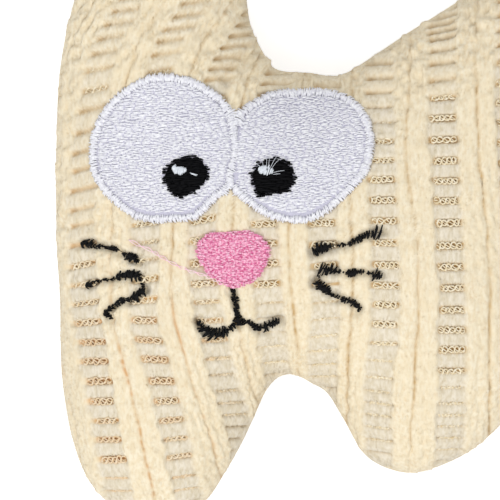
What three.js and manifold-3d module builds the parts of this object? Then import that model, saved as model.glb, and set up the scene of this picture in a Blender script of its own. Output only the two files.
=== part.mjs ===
// A small stuffed cat: two knitted panels sewn together at the rim, turned, filled and closed.
// It lies on its back with its face up: +X is to the viewer's right, +Y towards the ears, +Z up.
// Left and right are the viewer's. The origin is under the middle of the outline, on the surface
// that the toy lies on.

import * as THREE from 'three';
import { mergeVertices } from 'three/addons/utils/BufferGeometryUtils.js';
import Module from 'manifold-3d';

const wasm = await Module();
wasm.setup();

// Overall sizes in millimetres
const toyWidth = 114.4;
const toyHeight = 133.4;
const frontLoft = 17; // how fully the front is stuffed: the width of its rounded rim
const backLoft = 10; // the same for the back, which lies flatter
const restDepth = 0.5; // how far the back is pressed flat where it lies

// The cover
const fabricThickness = 2;
const seamGap = 0.3; // between the two panels' seam allowances
const seamFold = 1.5; // how far the fabric rounds in to the seam
const seamAllowance = 4.5; // from the rim to the allowance's inner edge
const seamThreadWidth = 0.6;
const seamThreadInset = 0.5; // from the rim to the thread
const closingStitchRise = 0.25; // how far the hand stitches swing to each side of the seam
const pieceGap = 0.3; // clearance between neighbouring pieces
const ladderWidth = 5; // the knit's ladder columns, which lie lower than the ribs between them
const ladderDepth = 0.8;
const ladderStart = 3; // how far from the seam the columns begin
const ladderEnd = 1; // how far over the resting surface those of the back end

// The face
const stitchHeight = 0.8;
const borderRise = 0.3; // how far the satin border stands over the fill inside it
const eyeLeftWidth = 29.6;
const eyeLeftHeight = 30.4;
const eyeRightWidth = 29.2;
const eyeRightHeight = 26.4;
const eyeBorderWidth = 1.7;
const pupilLeftWidth = 10;
const pupilLeftHeight = 8.6;
const pupilRightWidth = 9.4;
const pupilRightHeight = 7.8;
const glintWidth = 2.6;
const glintHeight = 2;
const noseWidth = 14.6;
const noseHeight = 11.2;
const mouthLineWidth = 1.9;
const whiskerWidth = 1.7;
const backingThickness = 0.5;

// The squeaker
const bulbWidth = 30;
const bulbHeight = 14;
const bulbWall = 0.9;
const neckLength = 2.2;
const plugWidth = 7;
const plugLength = 5;
const plugLipWidth = 9;
const plugLip = 0.8;
const plugBore = 4;
const reedLength = 4;
const reedWidth = 3;
const reedThickness = 0.3;

// Fineness of the shapes, in counts
const samplesPerKnot = 2;
const ellipseSteps = 36;
const glintSteps = 14;
const bulbSteps = 28;
const edgeSteps = 6;
const threadSides = 4;

// The outline, clockwise from the left ear's tip, as shares of the toy's width and height from its
// lower left corner. Each stretch also runs along one spine: the closed surface is drawn in rings
// from the outline to the spines, and the two stretches on one spine meet there.
const spineShares = {
  body_left: [0.191, 0.462],
  body_right: [0.654, 0.455],
  ear_left: [0.187, 0.936],
  ear_right: [0.925, 0.816],
  foot_left: [0.173, 0.073],
  foot_right: [0.628, 0.148],
};
const spineOrder = Object.keys(spineShares);
const outlineStretches = [
  { from: 'ear_left', to: 'ear_left', knotShares: [[0.191, 1.000]] },
  {
    from: 'ear_left',
    to: 'body_left',
    knotShares: [[0.260, 0.975], [0.306, 0.895], [0.329, 0.801], [0.341, 0.739], [0.369, 0.690]],
  },
  {
    from: 'body_left',
    to: 'body_right',
    knotShares: [[0.390, 0.673], [0.442, 0.669], [0.498, 0.666], [0.563, 0.699], [0.617, 0.730]],
  },
  {
    from: 'body_right',
    to: 'ear_right',
    knotShares: [[0.666, 0.756], [0.733, 0.793], [0.802, 0.831], [0.872, 0.859], [0.941, 0.876]],
  },
  {
    from: 'ear_right',
    to: 'body_right',
    knotShares: [[0.997, 0.835], [0.993, 0.760], [0.960, 0.688], [0.923, 0.621], [0.893, 0.556]],
  },
  {
    from: 'body_right',
    to: 'body_right',
    knotShares: [[0.876, 0.486], [0.869, 0.411], [0.867, 0.340]],
  },
  {
    from: 'body_right',
    to: 'foot_right',
    knotShares: [[0.862, 0.276], [0.843, 0.211], [0.797, 0.159], [0.729, 0.105]],
  },
  { from: 'foot_right', to: 'foot_right', knotShares: [[0.656, 0.075]] },
  {
    from: 'foot_right',
    to: 'body_right',
    knotShares: [[0.600, 0.071], [0.542, 0.095], [0.502, 0.151], [0.474, 0.189]],
  },
  {
    from: 'body_right',
    to: 'body_left',
    knotShares: [[0.446, 0.204], [0.427, 0.213], [0.407, 0.217], [0.385, 0.210], [0.365, 0.189]],
  },
  {
    from: 'body_left',
    to: 'foot_left',
    knotShares: [[0.343, 0.147], [0.323, 0.111], [0.297, 0.072], [0.262, 0.028], [0.213, 0.003]],
  },
  {
    from: 'foot_left',
    to: 'body_left',
    knotShares: [[0.157, 0.003], [0.100, 0.019], [0.056, 0.060], [0.030, 0.117], [0.016, 0.177]],
  },
  {
    from: 'body_left',
    to: 'body_left',
    knotShares: [[0.009, 0.235], [0.007, 0.331], [0.002, 0.403], [0.000, 0.493]],
  },
  {
    from: 'body_left',
    to: 'ear_left',
    knotShares: [[0.001, 0.568], [0.007, 0.673], [0.030, 0.771], [0.070, 0.871], [0.122, 0.958]],
  },
];

// Where the rings of the outer and inner surfaces lie, as shares of the way from rim to spine
const outerRingShares = [0.08, 0.25, 0.55, 1];
const innerRingShares = [0.12, 0.42, 1];
const slopeShare = 0.0001; // the step that measures a slope, of the toy's width

// Which stretch of the seam is the turning gap, as shares of the way round the outline
const closingShares = [0.4, 0.49];

// The ladder columns of the knit, as shares of the toy's width at nine shares of its height. The
// columns of the front bend with the stuffed form, those of the back run straight.
const ladderHeightShares = [1.003, 0.838, 0.718, 0.598, 0.478, 0.358, 0.238, 0.118, -0.001];
const ladderShares = [
  [0.245, 0.171, 0.091, 0.059, 0.045, 0.045, 0.065, 0.091, 0.119],
  [0.360, 0.294, 0.203, 0.164, 0.156, 0.154, 0.173, 0.212, 0.240],
  [0.479, 0.409, 0.323, 0.266, 0.257, 0.257, 0.287, 0.327, 0.357],
  [0.558, 0.495, 0.420, 0.371, 0.364, 0.367, 0.383, 0.406, 0.432],
  [0.615, 0.542, 0.488, 0.467, 0.463, 0.469, 0.465, 0.469, 0.483],
  [0.657, 0.580, 0.561, 0.566, 0.570, 0.575, 0.565, 0.561, 0.566],
  [0.689, 0.675, 0.673, 0.673, 0.682, 0.692, 0.692, 0.689, 0.687],
  [0.794, 0.790, 0.790, 0.792, 0.804, 0.815, 0.813, 0.815, 0.815],
  [0.906, 0.904, 0.904, 0.906, 0.918, 0.930, 0.928, 0.930, 0.930],
];
const backLadderShares = [0.052, 0.164, 0.276, 0.388, 0.5, 0.612, 0.724, 0.836, 0.948];

// The face's places: the left eye and the nose as shares of the toy's width and height, the right
// eye from the left one's middle as shares of that eye, each pupil from its eye's middle as shares
// of the eye, and each glint from its pupil's middle as shares of the pupil
const eyeLeftShares = [0.187, 0.556];
const noseShares = [0.309, 0.388];
const eyeRightShares = [0.928, -0.053];
const pupilLeftShares = [0.162, -0.189];
const pupilRightShares = [-0.188, -0.157];
const glintLeftShares = [-0.114, 0.155];
const glintRightShares = [-0.146, 0.120];
const eyeRightTilt = 14; // degrees
const pupilLeftTilt = 24;
const pupilRightTilt = 10;

// The nose's outline, as shares of its width and height from its middle
const noseOutlineShares = [
  [-0.31, 0.48], [0, 0.5], [0.31, 0.48], [0.5, 0.2], [0.37, -0.24],
  [0, -0.5], [-0.37, -0.22], [-0.5, 0.2],
];

// The backing sheet's outline, as shares of the toy's width and height
const backingOutlineShares = [
  [0.056, 0.553], [0.098, 0.651], [0.191, 0.685], [0.278, 0.664], [0.360, 0.618], [0.437, 0.616],
  [0.520, 0.622], [0.573, 0.575], [0.577, 0.470], [0.570, 0.350], [0.460, 0.285], [0.313, 0.262],
  [0.180, 0.275], [0.085, 0.310], [0.056, 0.375], [0.054, 0.460],
];

// The mouth's lines, as shares of the nose's width and height from its middle: the stem and the
// left and right curves
const mouthShares = [
  [[0, -0.5], [0.031, -0.762], [0.071, -1.108]],
  [[-0.486, -1.072], [-0.407, -1.263], [-0.227, -1.370], [-0.055, -1.263], [0.086, -1.060]],
  [[0.039, -1.060], [0.235, -1.155], [0.360, -1.263], [0.525, -1.179], [0.635, -1.084]],
];

// The whiskers' lines, as shares of the toy's width and height
const whiskerShares = {
  whisker_left_upper: [
    [[0.047, 0.412], [0.080, 0.408], [0.108, 0.403], [0.131, 0.394], [0.145, 0.385]],
  ],
  whisker_left_lower: [
    [[0.056, 0.352], [0.084, 0.355], [0.114, 0.363], [0.146, 0.365]],
    [[0.141, 0.366], [0.154, 0.340]],
    [[0.155, 0.344], [0.121, 0.325], [0.084, 0.309]],
  ],
  whisker_right_upper: [
    [[0.453, 0.400], [0.476, 0.409], [0.507, 0.411], [0.535, 0.421], [0.566, 0.430]],
  ],
  whisker_right_lower: [
    [[0.460, 0.380], [0.479, 0.372], [0.514, 0.369], [0.568, 0.364]],
    [[0.464, 0.379], [0.456, 0.350]],
    [[0.453, 0.356], [0.479, 0.339], [0.505, 0.330], [0.528, 0.318]],
  ],
};

// Where the filling of each ear and foot ends and the body's begins: two points of the root line,
// with the limb on the left of the way from the first to the second
const limbRootShares = {
  filling_ear_left: [[-0.028, 0.670], [0.409, 0.670]],
  filling_ear_right: [[0.465, 0.690], [0.951, 0.545]],
  filling_foot_left: [[0.409, 0.190], [-0.028, 0.220]],
  filling_foot_right: [[0.881, 0.235], [0.427, 0.175]],
};
const squeakerShares = [0.413, 0.445];

// Colours and finishes
function material(name, color, roughness) {
  return new THREE.MeshStandardMaterial({ name, color, roughness, metalness: 0 });
}
const knit = material('cream chenille knit', 0xead9bd, 0.95);
const whiteThread = material('white thread', 0xe4e2ea, 0.6);
const blackThread = material('black thread', 0x17171a, 0.6);
const pinkThread = material('pink thread', 0xec99bc, 0.6);
const creamThread = material('cream thread', 0xd9c7a6, 0.7);
const fibre = material('white fibre', 0xf4f2ec, 1);
const backingSheet = material('white backing sheet', 0xf2f2f0, 0.9);
const bulbPlastic = material('white plastic', 0xeeeeea, 0.5);
const reedFilm = material('clear film', 0xdfe6ea, 0.3);

// Plan geometry

function place([shareX, shareY]) {
  return new THREE.Vector2((shareX - 0.5) * toyWidth, (shareY - 0.5) * toyHeight);
}

// A place from a piece's middle, given as shares of the piece's width and height
function placeIn(centre, width, height, [shareX, shareY]) {
  return new THREE.Vector2(centre.x + shareX * width, centre.y + shareY * height);
}

// A point on the spine between two named ends, the same whichever end it is counted from
function spinePoint(from, to, step, steps) {
  if (spineOrder.indexOf(from) > spineOrder.indexOf(to)) {
    return spinePoint(to, from, steps - step, steps);
  }
  return place(spineShares[from]).lerp(place(spineShares[to]), steps ? step / steps : 0);
}

// The closed outline through all knots, and the spine point that belongs to each sample of it
function sampleOutline() {
  const knots = [];
  const anchors = [];
  for (const { from, to, knotShares } of outlineStretches) {
    knotShares.forEach((share, i) => {
      knots.push(place(share));
      anchors.push(spinePoint(from, to, i, knotShares.length - 1));
    });
  }
  const corners = knots.map((p) => new THREE.Vector3(p.x, p.y, 0));
  const curve = new THREE.CatmullRomCurve3(corners, true, 'catmullrom');
  const samples = [];
  for (let i = 0; i < knots.length; i += 1) {
    for (let j = 0; j < samplesPerKnot; j += 1) {
      const step = j / samplesPerKnot;
      const point = curve.getPoint((i + step) / knots.length);
      const next = anchors[(i + 1) % anchors.length];
      const anchor = new THREE.Vector2(
        anchors[i].x * (1 - step) + next.x * step,
        anchors[i].y * (1 - step) + next.y * step,
      );
      samples.push({ point: new THREE.Vector2(point.x, point.y), anchor });
    }
  }
  samples.forEach((sample, i) => {
    const before = samples[(i + samples.length - 1) % samples.length].point;
    const after = samples[(i + 1) % samples.length].point;
    const along = after.clone().sub(before).normalize();
    sample.inward = new THREE.Vector2(along.y, -along.x);
  });
  return samples;
}
const outline = sampleOutline();

// How roomy the outline is at a point: the distance to the rim beside a straight edge, and less
// where several edges are near. It is (1/2 of the sum round the rim of ds / distance cubed) to the
// power of -1/2, with each edge's share of the sum in closed form.
function roominess(x, y) {
  let sum = 0;
  for (let i = 0; i < outline.length; i += 1) {
    const a = outline[i].point;
    const b = outline[(i + 1) % outline.length].point;
    const length = a.distanceTo(b);
    const alongX = (b.x - a.x) / length;
    const alongY = (b.y - a.y) / length;
    const start = (a.x - x) * alongX + (a.y - y) * alongY;
    const end = start + length;
    const aside = (a.x - x) * alongY - (a.y - y) * alongX;
    const square = Math.max(aside * aside, Number.EPSILON * length * length);
    sum += (end / Math.hypot(aside, end) - start / Math.hypot(aside, start)) / square;
  }
  return 1 / Math.sqrt(Math.max(sum, 0) / 2);
}

// One ring of the stuffed surface: each sample's place in plan, its roominess and its slope
const ringCache = new Map();
function baseRing(share) {
  if (!ringCache.has(share)) {
    const step = toyWidth * slopeShare;
    ringCache.set(share, outline.map(({ point, anchor }) => {
      const x = point.x * (1 - share) + anchor.x * share;
      const y = point.y * (1 - share) + anchor.y * share;
      const slopeX = (roominess(x + step, y) - roominess(x - step, y)) / (2 * step);
      const slopeY = (roominess(x, y + step) - roominess(x, y - step)) / (2 * step);
      return { x, y, room: roominess(x, y), slopeX, slopeY };
    }));
  }
  return ringCache.get(share);
}

// The stuffed surface, its height the square root of loft times roominess, moved inward along its
// normal by inset and never lower than least. side is 1 for the front and -1 for the back.
function domeRing(share, loft, inset, side, least = 0) {
  return baseRing(share).map(({ x, y, room, slopeX, slopeY }) => {
    const height = Math.sqrt(loft * room);
    const normal = new THREE.Vector3(-slopeX * loft / 2, -slopeY * loft / 2, height).normalize();
    return new THREE.Vector3(
      x - normal.x * inset,
      y - normal.y * inset,
      side * Math.max(height - normal.z * inset, least),
    );
  });
}

function rimRing(inset, z) {
  return outline.map(({ point, inward }) => new THREE.Vector3(
    point.x + inward.x * inset,
    point.y + inward.y * inset,
    z,
  ));
}

// Solids

function meshGeometry(points, triangles) {
  const geometry = new THREE.BufferGeometry();
  geometry.setAttribute('position', new THREE.Float32BufferAttribute(points, 3));
  geometry.setIndex(triangles);
  return geometry;
}

// Joins rings of equal length into a surface: first those from a spine out to the rim, then those
// from the rim in to a spine. It is closed, because its two ends lie along the spines, and the
// triangles that have no area there are left out. Both ways, a quad's diagonal starts at the same
// corner of its outer ring, so that surfaces laid over each other are parallel.
function ringSolid(outwardRings, inwardRings) {
  const count = outline.length;
  const rings = [...outwardRings, ...inwardRings];
  const points = rings.flat().flatMap((p) => [p.x, p.y, p.z]);
  const loose = [];
  for (let ring = 0; ring + 1 < rings.length; ring += 1) {
    for (let i = 0; i < count; i += 1) {
      const j = (i + 1) % count;
      const a = ring * count + i;
      const b = ring * count + j;
      const c = (ring + 1) * count + i;
      const d = (ring + 1) * count + j;
      if (ring + 1 < outwardRings.length) {
        loose.push(a, b, c, b, d, c);
      } else {
        loose.push(a, b, d, a, d, c);
      }
    }
  }
  const merged = mergeVertices(meshGeometry(points, loose));
  const index = merged.index.array;
  const kept = [];
  for (let i = 0; i < index.length; i += 3) {
    const [a, b, c] = [index[i], index[i + 1], index[i + 2]];
    if (a !== b && b !== c && c !== a) {
      kept.push(a, b, c);
    }
  }
  merged.setIndex(kept);
  return toSolid(merged);
}

function toSolid(geometry) {
  const plain = geometry.clone();
  plain.deleteAttribute('normal');
  plain.deleteAttribute('uv');
  const merged = mergeVertices(plain);
  return new wasm.Manifold(new wasm.Mesh({
    numProp: 3,
    vertProperties: new Float32Array(merged.attributes.position.array),
    triVerts: new Uint32Array(merged.index.array),
  }));
}

function toMesh(name, solid, look) {
  const { vertProperties, triVerts } = solid.getMesh();
  const geometry = meshGeometry(Array.from(vertProperties), Array.from(triVerts));
  geometry.computeVertexNormals();
  const mesh = new THREE.Mesh(geometry, look);
  mesh.name = name;
  return mesh;
}

// The room between the surface that the toy lies on and a height well over its front
const tallest = Math.sqrt(frontLoft * (toyWidth + toyHeight));

function prism(shape, depth = tallest) {
  return toSolid(new THREE.ExtrudeGeometry(shape, { depth, bevelEnabled: false }));
}

function ellipsePoints(centre, width, height, tilt, grow, steps) {
  const curve = new THREE.EllipseCurve(
    centre.x,
    centre.y,
    width / 2 + grow,
    height / 2 + grow,
    0,
    2 * Math.PI,
    false,
    THREE.MathUtils.degToRad(tilt),
  );
  return curve.getPoints(steps).slice(0, -1);
}

// The prism over a closed smooth outline through knots that run clockwise, widened by grow
function smoothPrism(knots, grow) {
  const corners = knots.map((p) => new THREE.Vector3(p.x, p.y, 0));
  const curve = new THREE.CatmullRomCurve3(corners, true, 'catmullrom');
  const steps = samplesPerKnot * knots.length;
  const points = [];
  for (let i = 0; i < steps; i += 1) {
    const point = curve.getPoint(i / steps);
    const along = curve.getTangent(i / steps);
    points.push(new THREE.Vector2(point.x - along.y * grow, point.y + along.x * grow));
  }
  return prism(new THREE.Shape(points));
}

// A line of even width along a smooth route through points
function strokeShape(points, width) {
  const route = new THREE.SplineCurve(points);
  const steps = 2 * (points.length - 1);
  const left = [];
  const right = [];
  for (let i = 0; i <= steps; i += 1) {
    const point = route.getPoint(i / steps);
    const along = route.getTangent(i / steps);
    const aside = new THREE.Vector2(-along.y, along.x).multiplyScalar(width / 2);
    left.push(point.clone().add(aside));
    right.push(point.clone().sub(aside));
  }
  return new THREE.Shape([...left, ...right.reverse()]);
}

// Lines of even width, several of which can join
function strokes(routes, width) {
  return routes.map((route) => prism(strokeShape(route, width))).reduce((all, one) => all.add(one));
}

// The whole stuffed form, from its front spine round the rim to its back spine
function domeSolid(inset, ringShares) {
  const front = [...ringShares].reverse().map((share) => domeRing(share, frontLoft, inset, 1));
  const back = ringShares.map((share) => domeRing(share, backLoft, inset, -1));
  return ringSolid([...front, rimRing(inset, 0)], back);
}

// A panel: the outer surface, the fold at the seam, the allowance turned in, the inner surface
function panelSolid(loft, side) {
  const allowanceTop = seamGap / 2 + fabricThickness;
  const outer = outerRingShares.map((share) => domeRing(share, loft, 0, side));
  const inner = innerRingShares.map((share) => domeRing(
    share, loft, fabricThickness, side, allowanceTop + pieceGap,
  ));
  const seam = [
    rimRing(0, side * seamFold),
    rimRing(seamFold, side * seamGap / 2),
    rimRing(seamAllowance, side * seamGap / 2),
    rimRing(seamAllowance, side * allowanceTop),
    rimRing(fabricThickness, side * allowanceTop),
  ];
  if (side > 0) {
    return ringSolid(outer.reverse(), [...seam, ...inner]);
  }
  return ringSolid([...inner.reverse(), ...seam.reverse()], outer);
}

// The space that the filling takes up, clear of the fabric and of the turned-in allowances
function fillingSolid() {
  const slot = seamGap / 2 + fabricThickness + pieceGap;
  const allowances = new THREE.Shape(rimRing(-pieceGap, 0));
  allowances.holes.push(new THREE.Path(rimRing(seamAllowance + pieceGap, 0).reverse()));
  return domeSolid(fabricThickness + pieceGap, innerRingShares)
    .subtract(prism(allowances, 2 * slot).translate([0, 0, -slot]));
}

function box(width, height, depth, position, turn = 0) {
  const geometry = new THREE.BoxGeometry(width, height, depth);
  geometry.rotateZ(turn);
  geometry.translate(position.x, position.y, position.z);
  return toSolid(geometry);
}

// The half of space over or under a height
function halfSpace(z, side) {
  const size = 2 * (toyWidth + toyHeight);
  return box(size, size, 2 * tallest, new THREE.Vector3(0, 0, z + side * tallest));
}

// The zone past a limb's root line, moved on past the line by gap
function limbZone([startShare, endShare], gap) {
  const start = place(startShare);
  const end = place(endShare);
  const along = end.clone().sub(start);
  const reach = toyWidth;
  const aside = new THREE.Vector2(-along.y, along.x).normalize();
  const middle = start.clone().add(end).multiplyScalar(0.5).addScaledVector(aside, gap + reach / 2);
  return box(
    along.length(),
    reach,
    4 * tallest,
    new THREE.Vector3(middle.x, middle.y, 0),
    along.angle(),
  );
}

// A thread along part of the seam. swing moves it up and down from one sample to the next.
function seamThreadSolid(first, last, swing) {
  const inset = seamThreadInset;
  const points = [];
  const centres = [];
  for (let i = first; i <= last; i += 1) {
    const { point, inward } = outline[i % outline.length];
    const rise = swing * (i % 2 ? 1 : -1);
    centres.push({ x: point.x + inward.x * inset, y: point.y + inward.y * inset, z: rise, inward });
  }
  for (const { x, y, z, inward } of centres) {
    for (let side = 0; side < threadSides; side += 1) {
      const angle = 2 * Math.PI * side / threadSides;
      const out = Math.cos(angle) * seamThreadWidth / 2;
      points.push(x + inward.x * out, y + inward.y * out, z + Math.sin(angle) * seamThreadWidth / 2);
    }
  }
  const triangles = [];
  for (let i = 0; i + 1 < centres.length; i += 1) {
    for (let side = 0; side < threadSides; side += 1) {
      const next = (side + 1) % threadSides;
      const a = i * threadSides + side;
      const b = i * threadSides + next;
      const c = a + threadSides;
      const d = b + threadSides;
      triangles.push(a, c, d, a, d, b);
    }
  }
  const end = (centres.length - 1) * threadSides;
  for (let side = 1; side + 1 < threadSides; side += 1) {
    triangles.push(0, side, side + 1);
    triangles.push(end, end + side + 1, end + side);
  }
  return toSolid(meshGeometry(points, triangles));
}

// A turned piece whose axis is upright
function turned(profile, centre, z) {
  const geometry = new THREE.LatheGeometry(profile.map(([r, y]) => new THREE.Vector2(r, y)), bulbSteps);
  geometry.rotateX(Math.PI / 2);
  geometry.translate(centre.x, centre.y, z);
  return toSolid(geometry);
}

// Assembly

const toy = new THREE.Group();
toy.name = 'plush_cat_toy';

function add(name, solid, look) {
  toy.add(toMesh(name, solid, look));
}

// The surface that the toy lies on, restDepth up from the back's lowest point
const lowest = domeRing(1, backLoft, 0, -1).reduce((low, p) => Math.min(low, p.z), 0);
const restHeight = lowest + restDepth;

// The face's shapes in plan
function ellipsePrism(centre, width, height, tilt, grow, steps = ellipseSteps) {
  return prism(new THREE.Shape(ellipsePoints(centre, width, height, tilt, grow, steps)));
}

const eyeLeft = place(eyeLeftShares);
const eyeRight = placeIn(eyeLeft, eyeLeftWidth, eyeLeftHeight, eyeRightShares);
const pupilLeft = placeIn(eyeLeft, eyeLeftWidth, eyeLeftHeight, pupilLeftShares);
const pupilRight = placeIn(eyeRight, eyeRightWidth, eyeRightHeight, pupilRightShares);
const glintLeft = placeIn(pupilLeft, pupilLeftWidth, pupilLeftHeight, glintLeftShares);
const glintRight = placeIn(pupilRight, pupilRightWidth, pupilRightHeight, glintRightShares);
const eyes = {
  left: {
    outer: (grow) => ellipsePrism(eyeLeft, eyeLeftWidth, eyeLeftHeight, 0, grow),
    pupil: (grow) => ellipsePrism(pupilLeft, pupilLeftWidth, pupilLeftHeight, pupilLeftTilt, grow),
    glint: (grow) => ellipsePrism(glintLeft, glintWidth, glintHeight, 0, grow, glintSteps),
  },
  right: {
    outer: (grow) => ellipsePrism(eyeRight, eyeRightWidth, eyeRightHeight, eyeRightTilt, grow)
      .subtract(ellipsePrism(eyeLeft, eyeLeftWidth, eyeLeftHeight, 0, pieceGap - grow)),
    pupil: (grow) => ellipsePrism(
      pupilRight, pupilRightWidth, pupilRightHeight, pupilRightTilt, grow,
    ),
    glint: (grow) => ellipsePrism(glintRight, glintWidth, glintHeight, 0, grow, glintSteps),
  },
};
const noseCentre = place(noseShares);
const placeByNose = (share) => placeIn(noseCentre, noseWidth, noseHeight, share);
const noseKnots = noseOutlineShares.map(placeByNose);
const mouthLines = mouthShares.map((route) => route.map(placeByNose));

// Layers over the cover: the clearance, the stitches, the higher stitches of the borders
const coverSurface = domeSolid(-pieceGap, outerRingShares);
const fillSurface = domeSolid(-pieceGap - stitchHeight, outerRingShares);
const borderSurface = domeSolid(-pieceGap - stitchHeight - borderRise, outerRingShares);
const fillLayer = fillSurface.subtract(coverSurface).intersect(halfSpace(pieceGap, 1));
const borderLayer = borderSurface.subtract(coverSurface).intersect(halfSpace(pieceGap, 1));

// The knit's ladder columns, sunk into the cover. The knit stays whole under the eyes and the nose.
const ladderLayer = coverSurface.subtract(domeSolid(ladderDepth, outerRingShares));
const frontRoutes = ladderShares.map(
  (column) => column.map((x, i) => place([x, ladderHeightShares[i]])),
);
const backRoutes = backLadderShares.map((x) => [place([x, 0]), place([x, 1])]);
const frontLadders = strokes(frontRoutes, ladderWidth)
  .intersect(ladderLayer.intersect(halfSpace(ladderStart, 1)))
  .subtract(eyes.left.outer(pieceGap).add(eyes.right.outer(pieceGap)))
  .subtract(smoothPrism(noseKnots, pieceGap));
const backLadders = strokes(backRoutes, ladderWidth).translate([0, 0, -tallest])
  .intersect(ladderLayer.intersect(halfSpace(-ladderStart, -1)))
  .intersect(halfSpace(restHeight + ladderEnd, 1));

add('front_panel', panelSolid(frontLoft, 1).subtract(frontLadders), knit);
add(
  'back_panel',
  panelSolid(backLoft, -1).intersect(halfSpace(restHeight, 1)).subtract(backLadders),
  knit,
);

// The seam, all round but for the turning gap
const [closingStart, closingEnd] = closingShares.map((share) => Math.round(share * outline.length));
add('seam_thread', seamThreadSolid(closingEnd + 1, closingStart - 1 + outline.length, 0), creamThread);
add('closing_thread', seamThreadSolid(closingStart, closingEnd, closingStitchRise), creamThread);

// The face, stitched on the front. The fills lie in one layer, each in the hole of the one round it.
for (const [side, { outer, pupil, glint }] of Object.entries(eyes)) {
  const white = outer(-eyeBorderWidth - pieceGap).subtract(pupil(pieceGap));
  add(`eye_border_${side}`, borderLayer.intersect(outer(0).subtract(outer(-eyeBorderWidth))), whiteThread);
  add(`eye_white_${side}`, fillLayer.intersect(white), whiteThread);
  add(`pupil_${side}`, fillLayer.intersect(pupil(0).subtract(glint(pieceGap))), blackThread);
  add(`glint_${side}`, fillLayer.intersect(glint(0)), whiteThread);
}
add('nose', fillLayer.intersect(smoothPrism(noseKnots, 0)), pinkThread);
add('mouth', fillLayer.intersect(strokes(mouthLines, mouthLineWidth)), blackThread);
for (const [name, routes] of Object.entries(whiskerShares)) {
  const lines = routes.map((route) => route.map(place));
  add(name, fillLayer.intersect(strokes(lines, whiskerWidth)), blackThread);
}

// The backing sheet, between the front panel and the filling
const backingTop = domeSolid(fabricThickness + pieceGap, innerRingShares);
const backingUnder = domeSolid(fabricThickness + pieceGap + backingThickness, innerRingShares);
const backingBed = domeSolid(fabricThickness + 2 * pieceGap + backingThickness, innerRingShares);
const backingKnots = backingOutlineShares.map(place);
const backingPrism = smoothPrism(backingKnots, 0);
const backingRoom = smoothPrism(backingKnots, pieceGap);
add('embroidery_backing', backingTop.subtract(backingUnder).intersect(backingPrism), backingSheet);

// The squeaker, a flat blown bulb with its neck to the back
const squeakerCentre = place(squeakerShares);
const bulbRadius = bulbWidth / 2;
const cornerRadius = bulbHeight / 2;
const neckRadius = plugWidth / 2 + pieceGap + bulbWall;
function bulbProfile(shrink) {
  const profile = [];
  for (let i = 0; i <= edgeSteps; i += 1) {
    const angle = Math.PI * (i / edgeSteps - 0.5);
    profile.push([
      bulbRadius - cornerRadius + Math.cos(angle) * (cornerRadius - shrink),
      Math.sin(angle) * (cornerRadius - shrink),
    ]);
  }
  return [...profile, [0, bulbHeight / 2 - shrink]];
}
const neckEnd = -bulbHeight / 2 - neckLength;
const bulb = turned([
  ...bulbProfile(bulbWall).reverse(),
  [neckRadius - bulbWall, -bulbHeight / 2 + bulbWall],
  [neckRadius - bulbWall, neckEnd],
  [neckRadius, neckEnd],
  [neckRadius, -bulbHeight / 2],
  ...bulbProfile(0),
], squeakerCentre, 0);
const plugTop = neckEnd - pieceGap;
const plug = turned([
  [plugBore / 2, plugTop - plugLip],
  [plugLipWidth / 2, plugTop - plugLip],
  [plugLipWidth / 2, plugTop],
  [plugWidth / 2, plugTop],
  [plugWidth / 2, plugTop + plugLength],
  [plugBore / 2, plugTop + plugLength],
  [plugBore / 2, plugTop - plugLip],
], squeakerCentre, 0);
const reed = box(
  reedWidth,
  reedThickness,
  reedLength,
  new THREE.Vector3(squeakerCentre.x, squeakerCentre.y, plugTop + plugLength - reedLength / 2),
);
const pocketRadius = Math.max(neckRadius, plugLipWidth / 2) + pieceGap;
const pocketEnd = plugTop - plugLip - pieceGap;
const pocket = turned([
  [0, pocketEnd],
  [pocketRadius, pocketEnd],
  [pocketRadius, -bulbHeight / 2 - pieceGap],
  ...bulbProfile(-pieceGap),
], squeakerCentre, 0);
add('squeaker_bulb', bulb, bulbPlastic);
add('squeaker_plug', plug, bulbPlastic);
add('squeaker_reed', reed, reedFilm);

// The filling: two wads for the body, round the squeaker, and one for each ear and foot
const filling = fillingSolid().subtract(backingRoom.subtract(backingBed));
const limbRoots = Object.entries(limbRootShares);
const bodyFilling = limbRoots.reduce((rest, [, root]) => rest.subtract(limbZone(root, 0)), filling)
  .subtract(pocket);
add('filling_body_front', bodyFilling.intersect(halfSpace(pieceGap / 2, 1)), fibre);
add('filling_body_back', bodyFilling.intersect(halfSpace(-pieceGap / 2, -1)), fibre);
for (const [name, root] of limbRoots) {
  add(name, filling.intersect(limbZone(root, pieceGap)), fibre);
}

// The origin, under the middle of the toy's outline
const bounds = new THREE.Box3().setFromObject(toy);
const middle = bounds.getCenter(new THREE.Vector3());
toy.position.set(-middle.x, -middle.y, -restHeight);

export default toy;
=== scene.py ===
"""Looks of a small stuffed cat: a cover of cream chenille knit, an embroidered face, its filling."""

import math

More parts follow.
